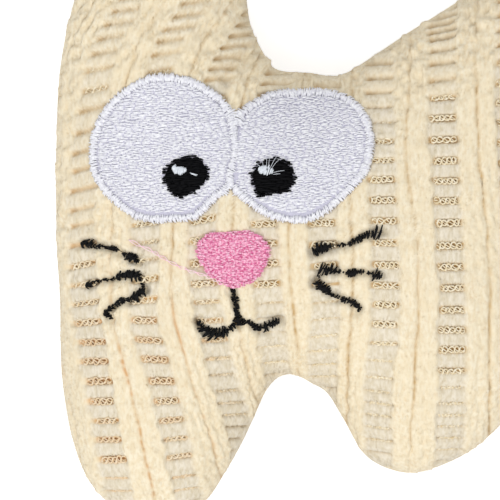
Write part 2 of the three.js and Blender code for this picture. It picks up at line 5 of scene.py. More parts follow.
import bmesh
import bpy
import numpy as np
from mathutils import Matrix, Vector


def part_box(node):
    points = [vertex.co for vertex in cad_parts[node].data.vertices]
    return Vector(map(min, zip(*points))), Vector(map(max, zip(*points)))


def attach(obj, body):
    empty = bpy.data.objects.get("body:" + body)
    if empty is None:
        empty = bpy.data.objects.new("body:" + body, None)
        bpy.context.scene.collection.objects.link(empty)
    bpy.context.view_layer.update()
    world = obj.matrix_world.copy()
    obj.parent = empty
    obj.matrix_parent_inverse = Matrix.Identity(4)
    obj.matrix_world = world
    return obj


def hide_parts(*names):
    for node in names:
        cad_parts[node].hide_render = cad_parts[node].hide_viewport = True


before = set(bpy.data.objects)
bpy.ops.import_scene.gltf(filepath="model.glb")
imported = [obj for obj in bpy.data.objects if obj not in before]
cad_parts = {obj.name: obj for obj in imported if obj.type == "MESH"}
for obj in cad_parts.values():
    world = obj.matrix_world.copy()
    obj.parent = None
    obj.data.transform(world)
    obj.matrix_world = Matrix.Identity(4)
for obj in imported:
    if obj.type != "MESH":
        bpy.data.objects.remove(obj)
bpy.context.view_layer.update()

bl_info = {
    "name": "Stuffed knit cat",
    "version": (1, 0, 0),
    "blender": (4, 5, 0),
    "location": "3D View > Sidebar > Knit cat",
    "description": "Dresses the solids of a small stuffed cat in knit, thread and fibre",
    "category": "Object",
}

# All shapes are worked out in millimetres and put into the meshes in metres.
MM = 0.001


def node_box(name):
    """The lowest and highest corner of a solid in millimetres."""
    low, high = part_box(name)
    return np.array(low) / MM, np.array(high) / MM


SEAM_LOW, SEAM_HIGH = node_box("seam_thread")
SEAM_HEIGHT = float(SEAM_LOW[2] + SEAM_HIGH[2]) / 2
TOY_WIDTH = 114.4
TOY_HEIGHT = 133.4
FRONT_LOFT = 17.0
BACK_LOFT = 10.0
FABRIC = 2.0  # thickness of the cover
SEAM_ALLOWANCE = 4.5  # from the rim to the turned-in edge
SEAM_FOLD = 1.5  # from the rim to where the two allowances meet
SEAM_GAP = 0.3  # between them
LINING_SHARES = (0.12, 0.42, 1.0)  # where the cover's inside has its rings, from rim to spine
LINING_LOW = 1.0  # the lowest height of the cover's inside
# Samples for each knot of the outline, and rings from rim to spine, of the front (1) and the back
COVER_GRIDS = {1: (28, 122), -1: (14, 80)}

# The outline, clockwise from the left ear's tip, as shares of the toy's width and height from its
# lower left corner, with the spine ends that each stretch runs along.
SPINE_SHARES = {
    "body_left": (0.191, 0.462),
    "body_right": (0.654, 0.455),
    "ear_left": (0.187, 0.936),
    "ear_right": (0.925, 0.816),
    "foot_left": (0.173, 0.073),
    "foot_right": (0.628, 0.148),
}
OUTLINE_STRETCHES = [
    ("ear_left", "ear_left", [(0.191, 1.000)]),
    ("ear_left", "body_left", [(0.260, 0.975), (0.306, 0.895), (0.329, 0.801), (0.341, 0.739),
        (0.369, 0.690)]),
    ("body_left", "body_right", [(0.390, 0.673), (0.442, 0.669), (0.498, 0.666), (0.563, 0.699),
        (0.617, 0.730)]),
    ("body_right", "ear_right", [(0.666, 0.756), (0.733, 0.793), (0.802, 0.831), (0.872, 0.859),
        (0.941, 0.876)]),
    ("ear_right", "body_right", [(0.997, 0.835), (0.993, 0.760), (0.960, 0.688), (0.923, 0.621),
        (0.893, 0.556)]),
    ("body_right", "body_right", [(0.876, 0.486), (0.869, 0.411), (0.867, 0.340)]),
    ("body_right", "foot_right", [(0.862, 0.276), (0.843, 0.211), (0.797, 0.159), (0.729, 0.105)]),
    ("foot_right", "foot_right", [(0.656, 0.075)]),
    ("foot_right", "body_right", [(0.600, 0.071), (0.542, 0.095), (0.502, 0.151), (0.474, 0.189)]),
    ("body_right", "body_left", [(0.446, 0.204), (0.427, 0.213), (0.407, 0.217), (0.385, 0.210),
        (0.365, 0.189)]),
    ("body_left", "foot_left", [(0.343, 0.147), (0.323, 0.111), (0.297, 0.072), (0.262, 0.028),
        (0.213, 0.003)]),
    ("foot_left", "body_left", [(0.157, 0.003), (0.100, 0.019), (0.056, 0.060), (0.030, 0.117),
        (0.016, 0.177)]),
    ("body_left", "body_left", [(0.009, 0.235), (0.007, 0.331), (0.002, 0.403), (0.000, 0.493)]),
    ("body_left", "ear_left", [(0.001, 0.568), (0.007, 0.673), (0.030, 0.771), (0.070, 0.871),
        (0.122, 0.958)]),
]

# The knit of the front. Whole numbers are the middles of its ladder columns and halves the creases
# between its ribs. Each line gives x at the heights LINE_Y, in millimetres.
LINE_Y = [67.1, 55.1, 45.1, 37.1, 29.1, 21.1, 13.1, 5.1, -2.9, -10.9, -18.9, -26.9, -34.9, -42.9,
    -50.9, -58.9, -66.9]
KNIT_LINES = {
    -1: [-43.6, -47.6, -52.0, -56.4, -61.2, -63.4, -64.4, -65.0, -65.2, -65.0, -64.6, -63.6, -62.2,
        -60.8, -59.2, -57.6, -56.0],
    0: [-29.2, -33.2, -37.6, -42.0, -46.8, -49.0, -50.4, -51.4, -52.0, -52.0, -52.0, -51.2, -49.8,
        -48.4, -46.8, -45.2, -43.6],
    0.5: [-22.6, -26.4, -30.6, -35.2, -40.4, -43.0, -44.4, -45.2, -45.8, -46.0, -46.2, -46.0, -43.8,
        -41.6, -39.8, -38.2, -36.6],
    1: [-16.0, -19.6, -23.6, -28.6, -34.0, -37.0, -38.4, -39.2, -39.4, -39.4, -39.6, -39.8, -37.4,
        -35.0, -33.0, -31.4, -29.8],
    1.5: [-9.2, -12.8, -17.0, -21.8, -27.2, -31.0, -32.6, -33.4, -33.6, -33.8, -34.2, -33.4, -31.2,
        -28.6, -26.2, -24.0, -22.2],
    2: [-2.4, -6.2, -10.4, -15.2, -20.2, -25.0, -26.8, -27.4, -27.8, -28.0, -27.8, -26.2, -24.4, -22.0,
        -19.8, -18.0, -16.4],
    2.5: [2.0, -1.6, -5.4, -9.8, -14.6, -19.0, -20.8, -21.4, -21.6, -21.8, -21.6, -21.0, -19.2, -17.2,
        -15.4, -13.8, -12.2],
    3: [6.6, 2.8, -0.6, -4.6, -9.2, -13.2, -14.8, -15.4, -15.6, -15.6, -15.2, -14.4, -13.4, -12.2,
        -10.8, -9.2, -7.8],
    3.5: [10.0, 6.0, 2.4, -1.0, -4.8, -8.0, -9.2, -9.8, -10.0, -10.8, -10.6, -9.4, -8.8, -8.0, -7.2,
        -6.0, -4.8],
    4: [13.2, 8.8, 4.8, 1.6, -1.4, -3.0, -3.8, -4.2, -4.2, -4.0, -3.6, -3.4, -4.0, -4.0, -3.6, -2.8, -2.0],
    4.5: [15.6, 11.0, 6.8, 4.2, 2.8, 2.0, 1.8, 1.6, 1.4, 2.0, 2.0, 1.6, 1.0, 0.8, 1.2, 2.0, 2.6],
    5: [18.0, 13.0, 9.2, 7.0, 7.0, 7.2, 7.6, 7.8, 8.0, 8.4, 8.6, 8.6, 7.4, 7.0, 7.0, 7.2, 7.6],
    5.5: [20.0, 16.6, 14.0, 13.4, 13.4, 13.4, 12.8, 12.6, 13.8, 14.8, 15.0, 15.0, 14.4, 14.0, 13.6,
        13.4, 13.4],
    6: [21.6, 20.2, 20.0, 19.8, 19.8, 19.8, 19.8, 20.4, 20.8, 21.6, 22.0, 22.0, 22.0, 21.8, 21.6, 21.4,
        21.4],
    6.5: [27.2, 27.0, 26.8, 26.6, 26.6, 26.6, 26.8, 27.2, 28.2, 29.0, 29.4, 29.4, 29.2, 29.4, 29.4,
        29.4, 29.4],
    7: [33.6, 33.4, 33.2, 33.2, 33.2, 33.2, 33.4, 34.0, 34.8, 35.4, 36.0, 36.0, 35.8, 36.0, 36.0, 36.0,
        36.0],
    8: [46.4, 46.4, 46.2, 46.2, 46.2, 46.2, 46.4, 47.0, 47.8, 48.6, 49.2, 49.2, 49.0, 49.2, 49.2, 49.2,
        49.2],
    9: [59.6, 59.6, 59.6, 59.6, 59.6, 59.6, 59.8, 60.4, 61.2, 62.0, 62.6, 62.6, 62.4, 62.6, 62.6, 62.6,
        62.6],
}
# Where each ladder column has its gaps, from the top down in millimetres, with the first gap's course
LADDER_GAPS = {
    0: (-13, [34.9, 32.3, 29.5, 26.5, 23.3, 19.1, 15.3, 10.9, 6.9, 3.3, -0.7, -4.7, -7.7, -11.7, -15.9,
        -19.7, -23.5, -27.3, -31.3, -35.1, -39.1, -43.1, -47.1, -50.7, -54.9, -58.7, -61.3]),
    1: (-13, [33.9, 31.3, 28.9, 26.3, 22.7, 18.9, 15.1, 11.3, 7.5, 3.7, -0.1, -3.9, -7.7, -11.5, -14.9,
        -18.7, -22.9, -26.9, -30.9, -34.7, -39.1, -43.1, -46.9, -50.7, -54.1, -58.3, -60.9]),
    2: (-14, [34.4, 32.2, 30.0, 27.7, 25.5, 23.4, 21.3, 17.3, 13.3, 9.3, 5.3, 1.1, -2.9, -6.9, -10.9,
        -15.5, -19.7, -23.3, -27.1, -30.9, -34.7, -37.9, -41.1, -43.5, -45.9]),
    3: (-13, [29.5, 27.2, 24.9, 22.6, 20.4, 18.3, 16.3, 12.3, 8.3, 4.3, 0.3, -3.7, -7.7, -11.7, -15.7,
        -19.9, -23.7, -26.7, -29.5, -32.5, -35.7, -38.1]),
    4: (-11, [27.4, 25.0, 22.6, 20.0, 17.0, 13.3, 9.3, 5.1, 0.9, -3.3, -7.5, -11.9, -16.1, -19.9,
        -23.5, -26.9, -30.3, -33.3, -36.1, -38.5]),
    5: (-10, [24.5, 21.5, 18.7, 15.7, 12.7, 8.9, 5.1, 1.3, -2.9, -7.1, -11.5, -15.9, -20.1, -23.9,
        -27.9, -31.7, -35.1, -38.5, -41.3, -43.7, -46.1, -48.5, -51.1]),
    6: (-14, [33.7, 32.3, 30.9, 29.5, 27.1, 24.5, 21.1, 17.7, 13.5, 9.1, 4.9, 0.9, -3.1, -7.5, -12.1,
        -16.3, -20.5, -24.9, -28.9, -32.9, -37.3, -40.5, -43.7, -46.1, -48.3, -50.7]),
    7: (-12, [34.1, 31.1, 28.1, 24.7, 20.5, 16.5, 12.5, 8.5, 4.3, 0.3, -3.9, -8.1, -12.3, -16.5, -20.7,
        -24.9, -29.1, -33.3, -37.5, -40.9, -44.1, -46.9]),
}
# How much each column's bars rise to the right, as (height in millimetres, rise per length)
BAR_TILTS = {
    0: [(35, 0.12), (20, 0.22), (8, 0.28), (-6, 0.22), (-22, 0.18), (-32, 0.03), (-60, 0.02)],
    1: [(35, 0.16), (20, 0.18), (-8, 0.15), (-22, 0.1), (-30, -0.1), (-38, -0.03), (-46, 0.08),
        (-60, 0.15)],
    2: [(30, 0.1), (0, 0.15), (-8, 0.22), (-14, 0.06), (-40, 0.05)],
    3: [(0, 0.05), (-40, 0.05)],
    4: [(0, 0.0), (-24, 0.1), (-30, 0.15), (-36, 0.05)],
    5: [(20, 0.05), (0, 0.0), (-34, -0.04), (-42, -0.12)],
    6: [(32, 0.25), (26, 0.1), (20, 0.12), (14, 0.02), (-50, 0.0)],
    7: [(32, 0.1), (10, 0.03), (-50, 0.0)],
}
LAST_LADDER = 7  # the last column of the two tables above; those beyond it are the same
LAST_COLUMN = 8  # the last one whose gaps have threads
COLUMN_HALF = 2.7  # half the width of a ladder column
GAP_HALF = 2.55  # half the length of a gap between two bars
BACK_REPEAT = 12.8  # ladder column to ladder column on the back
BACK_COURSE = 4.1  # gap to gap there
TABLE_REACH, TABLE_STEP = 75.0, 0.5  # the heights over which the tables are rounded
FRONT_SEED, BACK_SEED = 100, 200
# Widths and heights of the lumps, the tufts, the curls and the fibres on the bars
KNIT_LUMPS = ((2.2, 2.6), (0.95, 1.35), (0.62, 0.72), (0.36, 1.6))
SPREAD_PITCHES = (3.35, 4.15)  # from slack to fully stretched
THREAD_PITCHES = (3.2, 4.0)  # from no thread in the gaps to all of it
RIB_LOW, RIB_RISE, RIB_ROUNDING = -0.72, 0.9, 1.3
BAR_LOW, GAP_LOW = -1.0, -0.95
# The threads in a gap, by which way they wind, how high they swing and their radius
CORE_THREADS = ((1, 0.56, 0.23), (-1, 0.56, 0.23), (0, 0.25, 0.15))
# Batches of the pile and the fibres in each, of the front (1) and the back
PILE_BATCHES = {1: (3, 46000), -1: (1, 32000)}
PILE_SUNK = 0.12  # how deep the fibres' roots are in the knit

# The face, in millimetres
# Each eye is an ellipse that stands further out by the swell at these angles in degrees.
EYES = {
    "left": {"at": (-35.8, 7.5), "half": (14.8, 15.2), "tilt": 0.0, "swell": [
        (20, 0.5), (32, 0.8), (50, 0.2), (75, -0.3), (100, -0.4), (120, -1.0), (150, -0.9),
            (180, -0.2), (200, 0.2),
        (230, -0.2), (250, 0.1), (278, -0.2), (295, 0.8), (310, 0.1), (320, 0.4), (330, 1.2), (340, 0.4)]},
    "right": {"at": (-8.4, 5.9), "half": (14.6, 13.2), "tilt": 14.0, "swell": [
        (0, 0.0), (20, 0.8), (35, 1.4), (50, 1.4), (65, 0.7), (85, 0.0), (95, -0.1), (110, 0.7),
            (128, 1.1), (142, 1.4),
        (150, 0.9), (170, 0.0), (195, 0.3), (205, 1.0), (215, 0.5), (230, 0.1), (250, 0.3), (275, 0.3),
            (290, -0.2),
        (310, -1.1), (330, -1.1), (345, -0.3)]},
}
NOSE_ROUGH = {"at": (-21.8, -14.6), "half": (7.3, 5.6), "tilt": 0.0, "swell": [(0, 0.0)]}
NOSE_KNOTS = [(-29.1, -12.5), (-26.7, -9.7), (-21.8, -9.3), (-17.6, -9.3), (-14.4, -12.9),
    (-16.8, -18.3), (-22.0, -20.3), (-27.2, -17.1)]


def smooth_step(x, low, high):
    """0 below low, 1 above high and 3 t^2 - 2 t^3 between, for arrays; low may be above high."""
    t = np.clip((x - low) / (high - low), 0, 1)
    return t * t * (3 - 2 * t)


def arch(t):
    """A quarter circle: 0 at 0, 1 from 1 on."""
    return np.sqrt(np.maximum(1 - (1 - np.clip(t, 0, 1)) ** 2, 0))


def bell(t):
    """exp(-t^2): 1 at 0 and next to nothing beyond 2 on both sides."""
    return np.exp(-(t**2))


def hash_unit(ix, iy, seed):
    """A number from 0 to 1 that depends only on two whole numbers and a seed."""
    h = (ix.astype(np.int64) * 374761393 + iy.astype(np.int64) * 668265263 + seed * 974634777) & 0xFFFFFFFF
    h = ((h ^ (h >> 13)) * 1274126177) & 0xFFFFFFFF
    h = ((h ^ (h >> 16)) * 2246822519) & 0xFFFFFFFF
    return ((h ^ (h >> 15)) & 0xFFFFFF) / 0xFFFFFF


def noise(x, y, seed):
    """Smooth value noise from -1 to 1: random values on a unit grid, eased from one to the next."""
    ix, iy = np.floor(x), np.floor(y)
    u, v = x - ix, y - iy
    u, v = u * u * u * (u * (6 * u - 15) + 10), v * v * v * (v * (6 * v - 15) + 10)
    low = hash_unit(ix, iy, seed) * (1 - u) + hash_unit(ix + 1, iy, seed) * u
    high = hash_unit(ix, iy + 1, seed) * (1 - u) + hash_unit(ix + 1, iy + 1, seed) * u
    return 2 * (low * (1 - v) + high * v) - 1


# Plan of the toy

def place(share):
    """A place given as shares of the toy's width and height, in millimetres from its middle."""
    return np.array([(share[0] - 0.5) * TOY_WIDTH, (share[1] - 0.5) * TOY_HEIGHT])


def closed_curve(knots, steps):
    """A closed Catmull-Rom curve: between two knots, the cubic whose slope at each knot is half the
    way from the knot before to the knot after. steps samples for each knot."""
    p0, p1, p2, p3 = (np.roll(knots, shift, 0)[:, None] for shift in (1, 0, -1, -2))
    t = (np.arange(steps) / steps)[None, :, None]
    points = p1 + 0.5 * t * (p2 - p0 + t * (2 * p0 - 5 * p1 + 4 * p2 - p3 + t * (3 * (p1 - p2) + p3 - p0)))
    return points.reshape(-1, knots.shape[1])


def outline_and_spine(steps):
    """Samples of the outline, and the spine point that belongs to each."""
    knots, anchors = [], []
    for start, end, shares in OUTLINE_STRETCHES:
        a, b = place(SPINE_SHARES[start]), place(SPINE_SHARES[end])
        for i, share in enumerate(shares):
            knots.append(place(share))
            anchors.append(a + (b - a) * i / max(len(shares) - 1, 1))
    knots, anchors = np.array(knots), np.array(anchors)
    t = (np.arange(steps) / steps)[None, :, None]
    along = anchors[:, None] * (1 - t) + np.roll(anchors, -1, 0)[:, None] * t
    return closed_curve(knots, steps), along.reshape(-1, 2)


def roominess(points, outline):
    """How much room the outline leaves at each point: (1/2 of the sum round the rim of
    ds / distance cubed) to the power of -1/2, each edge's share of the sum in closed form."""
    ahead = np.roll(outline, -1, 0) - outline
    length = np.hypot(*ahead.T)
    ux, uy = (ahead / length[:, None]).T
    least = np.finfo(float).eps * length**2
    result = np.zeros(len(points))
    for first in range(0, len(points), 4000):
        part = points[first:first + 4000]
        dx = outline[:, 0] - part[:, :1]
        dy = outline[:, 1] - part[:, 1:]
        start = dx * ux + dy * uy
        aside = (dx * uy - dy * ux) ** 2
        end = start + length
        total = (end / np.sqrt(aside + end**2) - start / np.sqrt(aside + start**2)) / np.maximum(aside, least)
        result[first:first + 4000] = 1 / np.sqrt(np.maximum(total.sum(1), 1e-30) / 2)
    return result


def even_shares(count, loft, reach=26.0):
    """Shares of the way from rim to spine at which the stuffed surface is cut into equal lengths:
    its height is the square root of loft times the distance d, so ds = dd sqrt(1 + loft / 4 d)."""
    d = reach * np.linspace(0.004, 1, 4000) ** 2
    s = np.concatenate([[0], np.cumsum(np.diff(d) * np.sqrt(1 + loft / (2 * (d[1:] + d[:-1]))))])
    return np.interp(np.linspace(0, s[-1], count), s, d) / reach


FINE_OUTLINE, _ = outline_and_spine(14)


def unit(vectors):
    """Vectors along the last axis, brought to length 1."""
    return vectors / np.maximum(np.linalg.norm(vectors, axis=-1, keepdims=True), 1e-9)


def dome(points, loft, outline):
    """Height of the stuffed surface over or under the seam at plan places, and its unit normals
    there, from the slopes between places a small step to each side."""
    step = 0.02
    offsets = np.array([[0, 0], [step, 0], [-step, 0], [0, step], [0, -step]])
    height, right, left, up, down = (np.sqrt(loft * roominess(points + o, outline)) for o in offsets)
    slopes = (left - right) / (2 * step), (down - up) / (2 * step)
    return height, unit(np.column_stack([*slopes, np.ones(len(points))]))


def over_cover(plan, rise, side):
    """Points over plan places, rise outside the stuffed front or back along its normal."""
    flat = plan.reshape(-1, 2)
    height, normal = dome(flat, FRONT_LOFT if side > 0 else BACK_LOFT, FINE_OUTLINE)
    at = np.column_stack([flat, height]) + normal * np.broadcast_to(rise, plan.shape[:-1]).reshape(-1, 1)
    at[:, 2] = SEAM_HEIGHT + side * at[:, 2]
    return at.reshape(*plan.shape[:-1], 3)


# Meshes

def make_piece(name, points, faces, material, replaced, slot, values=None):
    """A piece from points in millimetres, a list of arrays of faces with 3 or 4 corners each, and
    named values for its points. It rides on the root and stands for the replaced nodes."""
    mesh = bpy.data.meshes.new(name)
    mesh.vertices.add(len(points))
    mesh.vertices.foreach_set("co", (np.asarray(points) * MM).astype(np.float32).ravel())
    corners = np.concatenate([f.ravel() for f in faces]).astype(np.int32)
    sizes = np.concatenate([np.full(len(f), f.shape[1]) for f in faces])
    mesh.loops.add(len(corners))
    mesh.polygons.add(len(sizes))
    mesh.polygons.foreach_set("loop_start", (np.cumsum(sizes) - sizes).astype(np.int32))
    mesh.polygons.foreach_set("vertices", corners)
    for key, value in (values or {}).items():
        mesh.attributes.new(key, "FLOAT", "POINT").data.foreach_set("value", value.astype(np.float32))
    mesh.update(calc_edges=True)
    mesh.materials.append(material)
    piece = bpy.data.objects.new(name, mesh)
    bpy.context.scene.collection.objects.link(piece)
    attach(piece, "root")
    if replaced:
        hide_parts(*replaced)
    return piece


def join_meshes(*parts):
    """Points and faces of several meshes as one."""
    points, faces, first = [], [], 0
    for part_points, part_faces in parts:
        points.append(part_points)
        faces += [f + first for f in part_faces]
        first += len(part_points)
    return np.concatenate(points), faces


def ring_faces(rings, count, flip=False):
    """Quads between rings of count points each, closed round."""
    i = np.arange(count)
    j = (i + 1) % count
    base = (np.arange(rings - 1) * count)[:, None]
    quads = np.stack([base + i, base + j, base + count + j, base + count + i], 2).reshape(-1, 4)
    return quads[:, ::-1] if flip else quads


def tube_mesh(paths, radii, sides):
    """Round threads: a ring of sides points, an even number, about each point of the paths
    (n, m, 3), at radii (n, m), in the plane across the path, closed at both ends."""
    n, m, _ = paths.shape
    along = unit(np.gradient(paths, axis=1))
    aside = unit(np.cross(along, [0.0, 0.0, 1.0]))
    over = np.cross(aside, along)
    angle = 2 * np.pi * (np.arange(sides) + 0.5) / sides
    r = np.broadcast_to(radii, (n, m))[:, :, None, None]
    points = paths[:, :, None] + r * (
        np.cos(angle)[:, None] * aside[:, :, None] + np.sin(angle)[:, None] * over[:, :, None])
    caps = np.array([[0, k, k + 1, k + 2] for k in range(1, sides - 2, 2)])
    quads = np.concatenate([ring_faces(m, sides), caps[:, ::-1], caps + (m - 1) * sides])
    quads = (quads[None] + (np.arange(n) * m * sides)[:, None, None]).reshape(-1, 4)
    return points.reshape(-1, 3), [quads]


# Knit

def smooth_table(at, values, window=5.0):
    """A table as an evenly spaced one, its corners rounded over a window in millimetres."""
    fine = np.arange(-TABLE_REACH, TABLE_REACH, TABLE_STEP)
    order = np.argsort(at)
    line = np.interp(fine, np.array(at)[order], np.array(values)[order])
    half = int(window / TABLE_STEP)
    kernel = np.hanning(2 * half + 1)
    return fine, np.convolve(np.pad(line, half, mode="edge"), kernel / kernel.sum(), "valid")


def course_of(gaps, y):
    """The course number at height y of a column with these gaps, whole at each gap, and the pitch
    there, measured over a step up and down. Past its ends the column goes on for 40 courses."""
    first, heights = gaps
    more, step, least = 40, 1.2, 0.1
    at = np.array(heights)[::-1]
    number = (first + np.arange(len(heights)))[::-1].astype(float)
    low, high = at[1] - at[0], at[-1] - at[-2]
    at = np.concatenate([[at[0] - more * low], at, [at[-1] + more * high]])
    number = np.concatenate([[number[0] + more], number, [number[-1] - more]])
    passed = np.interp(y - step, at, number) - np.interp(y + step, at, number)
    return np.interp(y, at, number), 2 * step / np.maximum(passed, least)


def front_wobble(x, y):
    """How far the front's columns stray to the left, in millimetres."""
    return 0.22 * noise(x / 5, y / 4, 11) + 0.12 * noise(x / 2, y / 1.7, 12)


def back_wobble(x, y):
    """How far the back's columns stray to the left, in millimetres."""
    return 0.5 * noise(x / 14, y / 14, 21) + 0.15 * noise(x / 3, y / 3, 22)


def back_sag(x, y):
    """How far the back's bars lie under their even places, in millimetres."""
    return 0.6 * noise(x / 18, y / 16, 23)


def back_shift(column):
    """By what share of a course each of the back's columns is set off."""
    return 0.15 * np.sin(column * 2.1)


def front_gaps(count=41):
    """The middle lines of the gaps between the front's ladder bars (n, count, 2) and their pitch.
    Each column's gaps go on past the ends of its table at the last pitch."""
    lines, pitches = [], []
    t = np.linspace(-GAP_HALF, GAP_HALF, count)
    for column in range(LAST_COLUMN + 1):
        source = min(column, LAST_LADDER)
        at_y, middle = smooth_table(LINE_Y, KNIT_LINES[column])
        _, tilts = smooth_table(*zip(*BAR_TILTS[source]))
        gaps = np.array(LADDER_GAPS[source][1])
        more = gaps[-1] + (gaps[-1] - gaps[-2]) * np.arange(1, 9)
        less = gaps[0] + (gaps[0] - gaps[1]) * np.arange(9, 0, -1)
        gaps = np.concatenate([less, gaps, more])
        y = gaps[:, None] + np.interp(gaps, at_y, tilts)[:, None] * t
        x = np.interp(y, at_y, middle) + t
        lines.append(np.stack([x - front_wobble(x, y), y], 2))
        pitches.append(-np.gradient(gaps))
    return np.concatenate(lines), np.concatenate(pitches)


def back_gaps(count=19):
    """The same for the back."""
    t = np.linspace(-GAP_HALF, GAP_HALF, count)
    column, row = (v.ravel() for v in np.meshgrid(np.arange(-4, 5), np.arange(-17, 18)))
    x = (column * BACK_REPEAT)[:, None] + t
    y = np.broadcast_to(-BACK_COURSE * (row - back_shift(column))[:, None], x.shape)
    y = y - back_sag(x, y)
    return np.stack([x - back_wobble(x, y), y], 2), np.full(len(x), BACK_COURSE)


def front_knit(x, y):
    """The knit's own coordinates at plan places of the front: the distance aside from the nearest
    ladder column's middle and its number, the distance to the nearest crease, the course and the
    pitch of the courses. Between two columns course and pitch pass smoothly from one to the next."""
    keys = sorted(KNIT_LINES)
    lines = np.array([np.interp(y, *smooth_table(LINE_Y, KNIT_LINES[key])) for key in keys])
    x = x + front_wobble(x, y)
    index = np.clip((lines < x).sum(0) - 1, 0, len(keys) - 2)
    rows = np.arange(len(x))
    left, right = lines[index, rows], lines[index + 1, rows]
    number = np.array(keys, float)
    u = number[index] + (x - left) / (right - left) * (number[index + 1] - number[index])
    column = np.clip(np.round(u), keys[0], keys[-1])
    beside = np.clip(column + np.where(u > column, 1, -1), keys[0], keys[-1])
    off = np.abs(u - column)
    blend = 0.5 * smooth_step(off, 0.24, 0.5)
    middle, course, pitch = np.zeros((3, len(x)))
    for k in range(keys[0], keys[-1] + 1):
        source = min(max(k, 0), LAST_LADDER)
        line = lines[keys.index(k)]
        tilt = np.interp(y, *smooth_table(*zip(*BAR_TILTS[source])))
        courses, pitches = course_of(LADDER_GAPS[source], y - tilt * (x - line))
        share = (column == k) * (1 - blend) + (beside == k) * blend
        middle += line * (column == k)
        course += courses * share
        pitch += pitches * share
    aside = x - middle
    repeat = np.abs(aside) / np.maximum(off, 0.02)
    to_crease = np.where(off > 0.02, (0.5 - off) * repeat, 6.0)
    return aside, column, to_crease, course, pitch


def back_knit(x, y):
    """The same for the back, whose columns stand evenly."""
    x = x + back_wobble(x, y)
    y = y + back_sag(x, y)
    column = np.round(x / BACK_REPEAT)
    aside = x - column * BACK_REPEAT
    to_crease = BACK_REPEAT / 2 - np.abs(aside)
    return aside, column, to_crease, back_shift(column) - y / BACK_COURSE, np.full(len(x), BACK_COURSE)


def ellipse_distance(x, y, spec):
    """About how far plan places lie outside a turned ellipse, in millimetres, less than 0 inside."""
    turn = math.radians(spec["tilt"])
    dx, dy = x - spec["at"][0], y - spec["at"][1]
    a = (dx * math.cos(turn) + dy * math.sin(turn)) / spec["half"][0]
    b = (dy * math.cos(turn) - dx * math.sin(turn)) / spec["half"][1]
    size = np.sqrt(a * a + b * b)
    slope = np.sqrt((a / spec["half"][0]) ** 2 + (b / spec["half"][1]) ** 2) / np.maximum(size, 1e-6)
    return (size - 1) / np.maximum(slope, 1e-6) - swell_at(spec, dx, dy)


def swell_at(spec, dx, dy):
    """How much further out than its ellipse a shape stands in the direction of (dx, dy)."""
    return np.interp(np.degrees(np.arctan2(dy, dx)), *zip(*spec["swell"]), period=360)


def polyline_distance(x, y, line):
    """Distance of plan places to a line through points."""
    best = np.full(len(x), 1e9)
    for (ax, ay), (bx, by) in zip(line, line[1:]):
        dx, dy = bx - ax, by - ay
        t = np.clip(((x - ax) * dx + (y - ay) * dy) / (dx * dx + dy * dy), 0, 1)
        best = np.minimum(best, np.hypot(x - ax - t * dx, y - ay - t * dy))
    return best


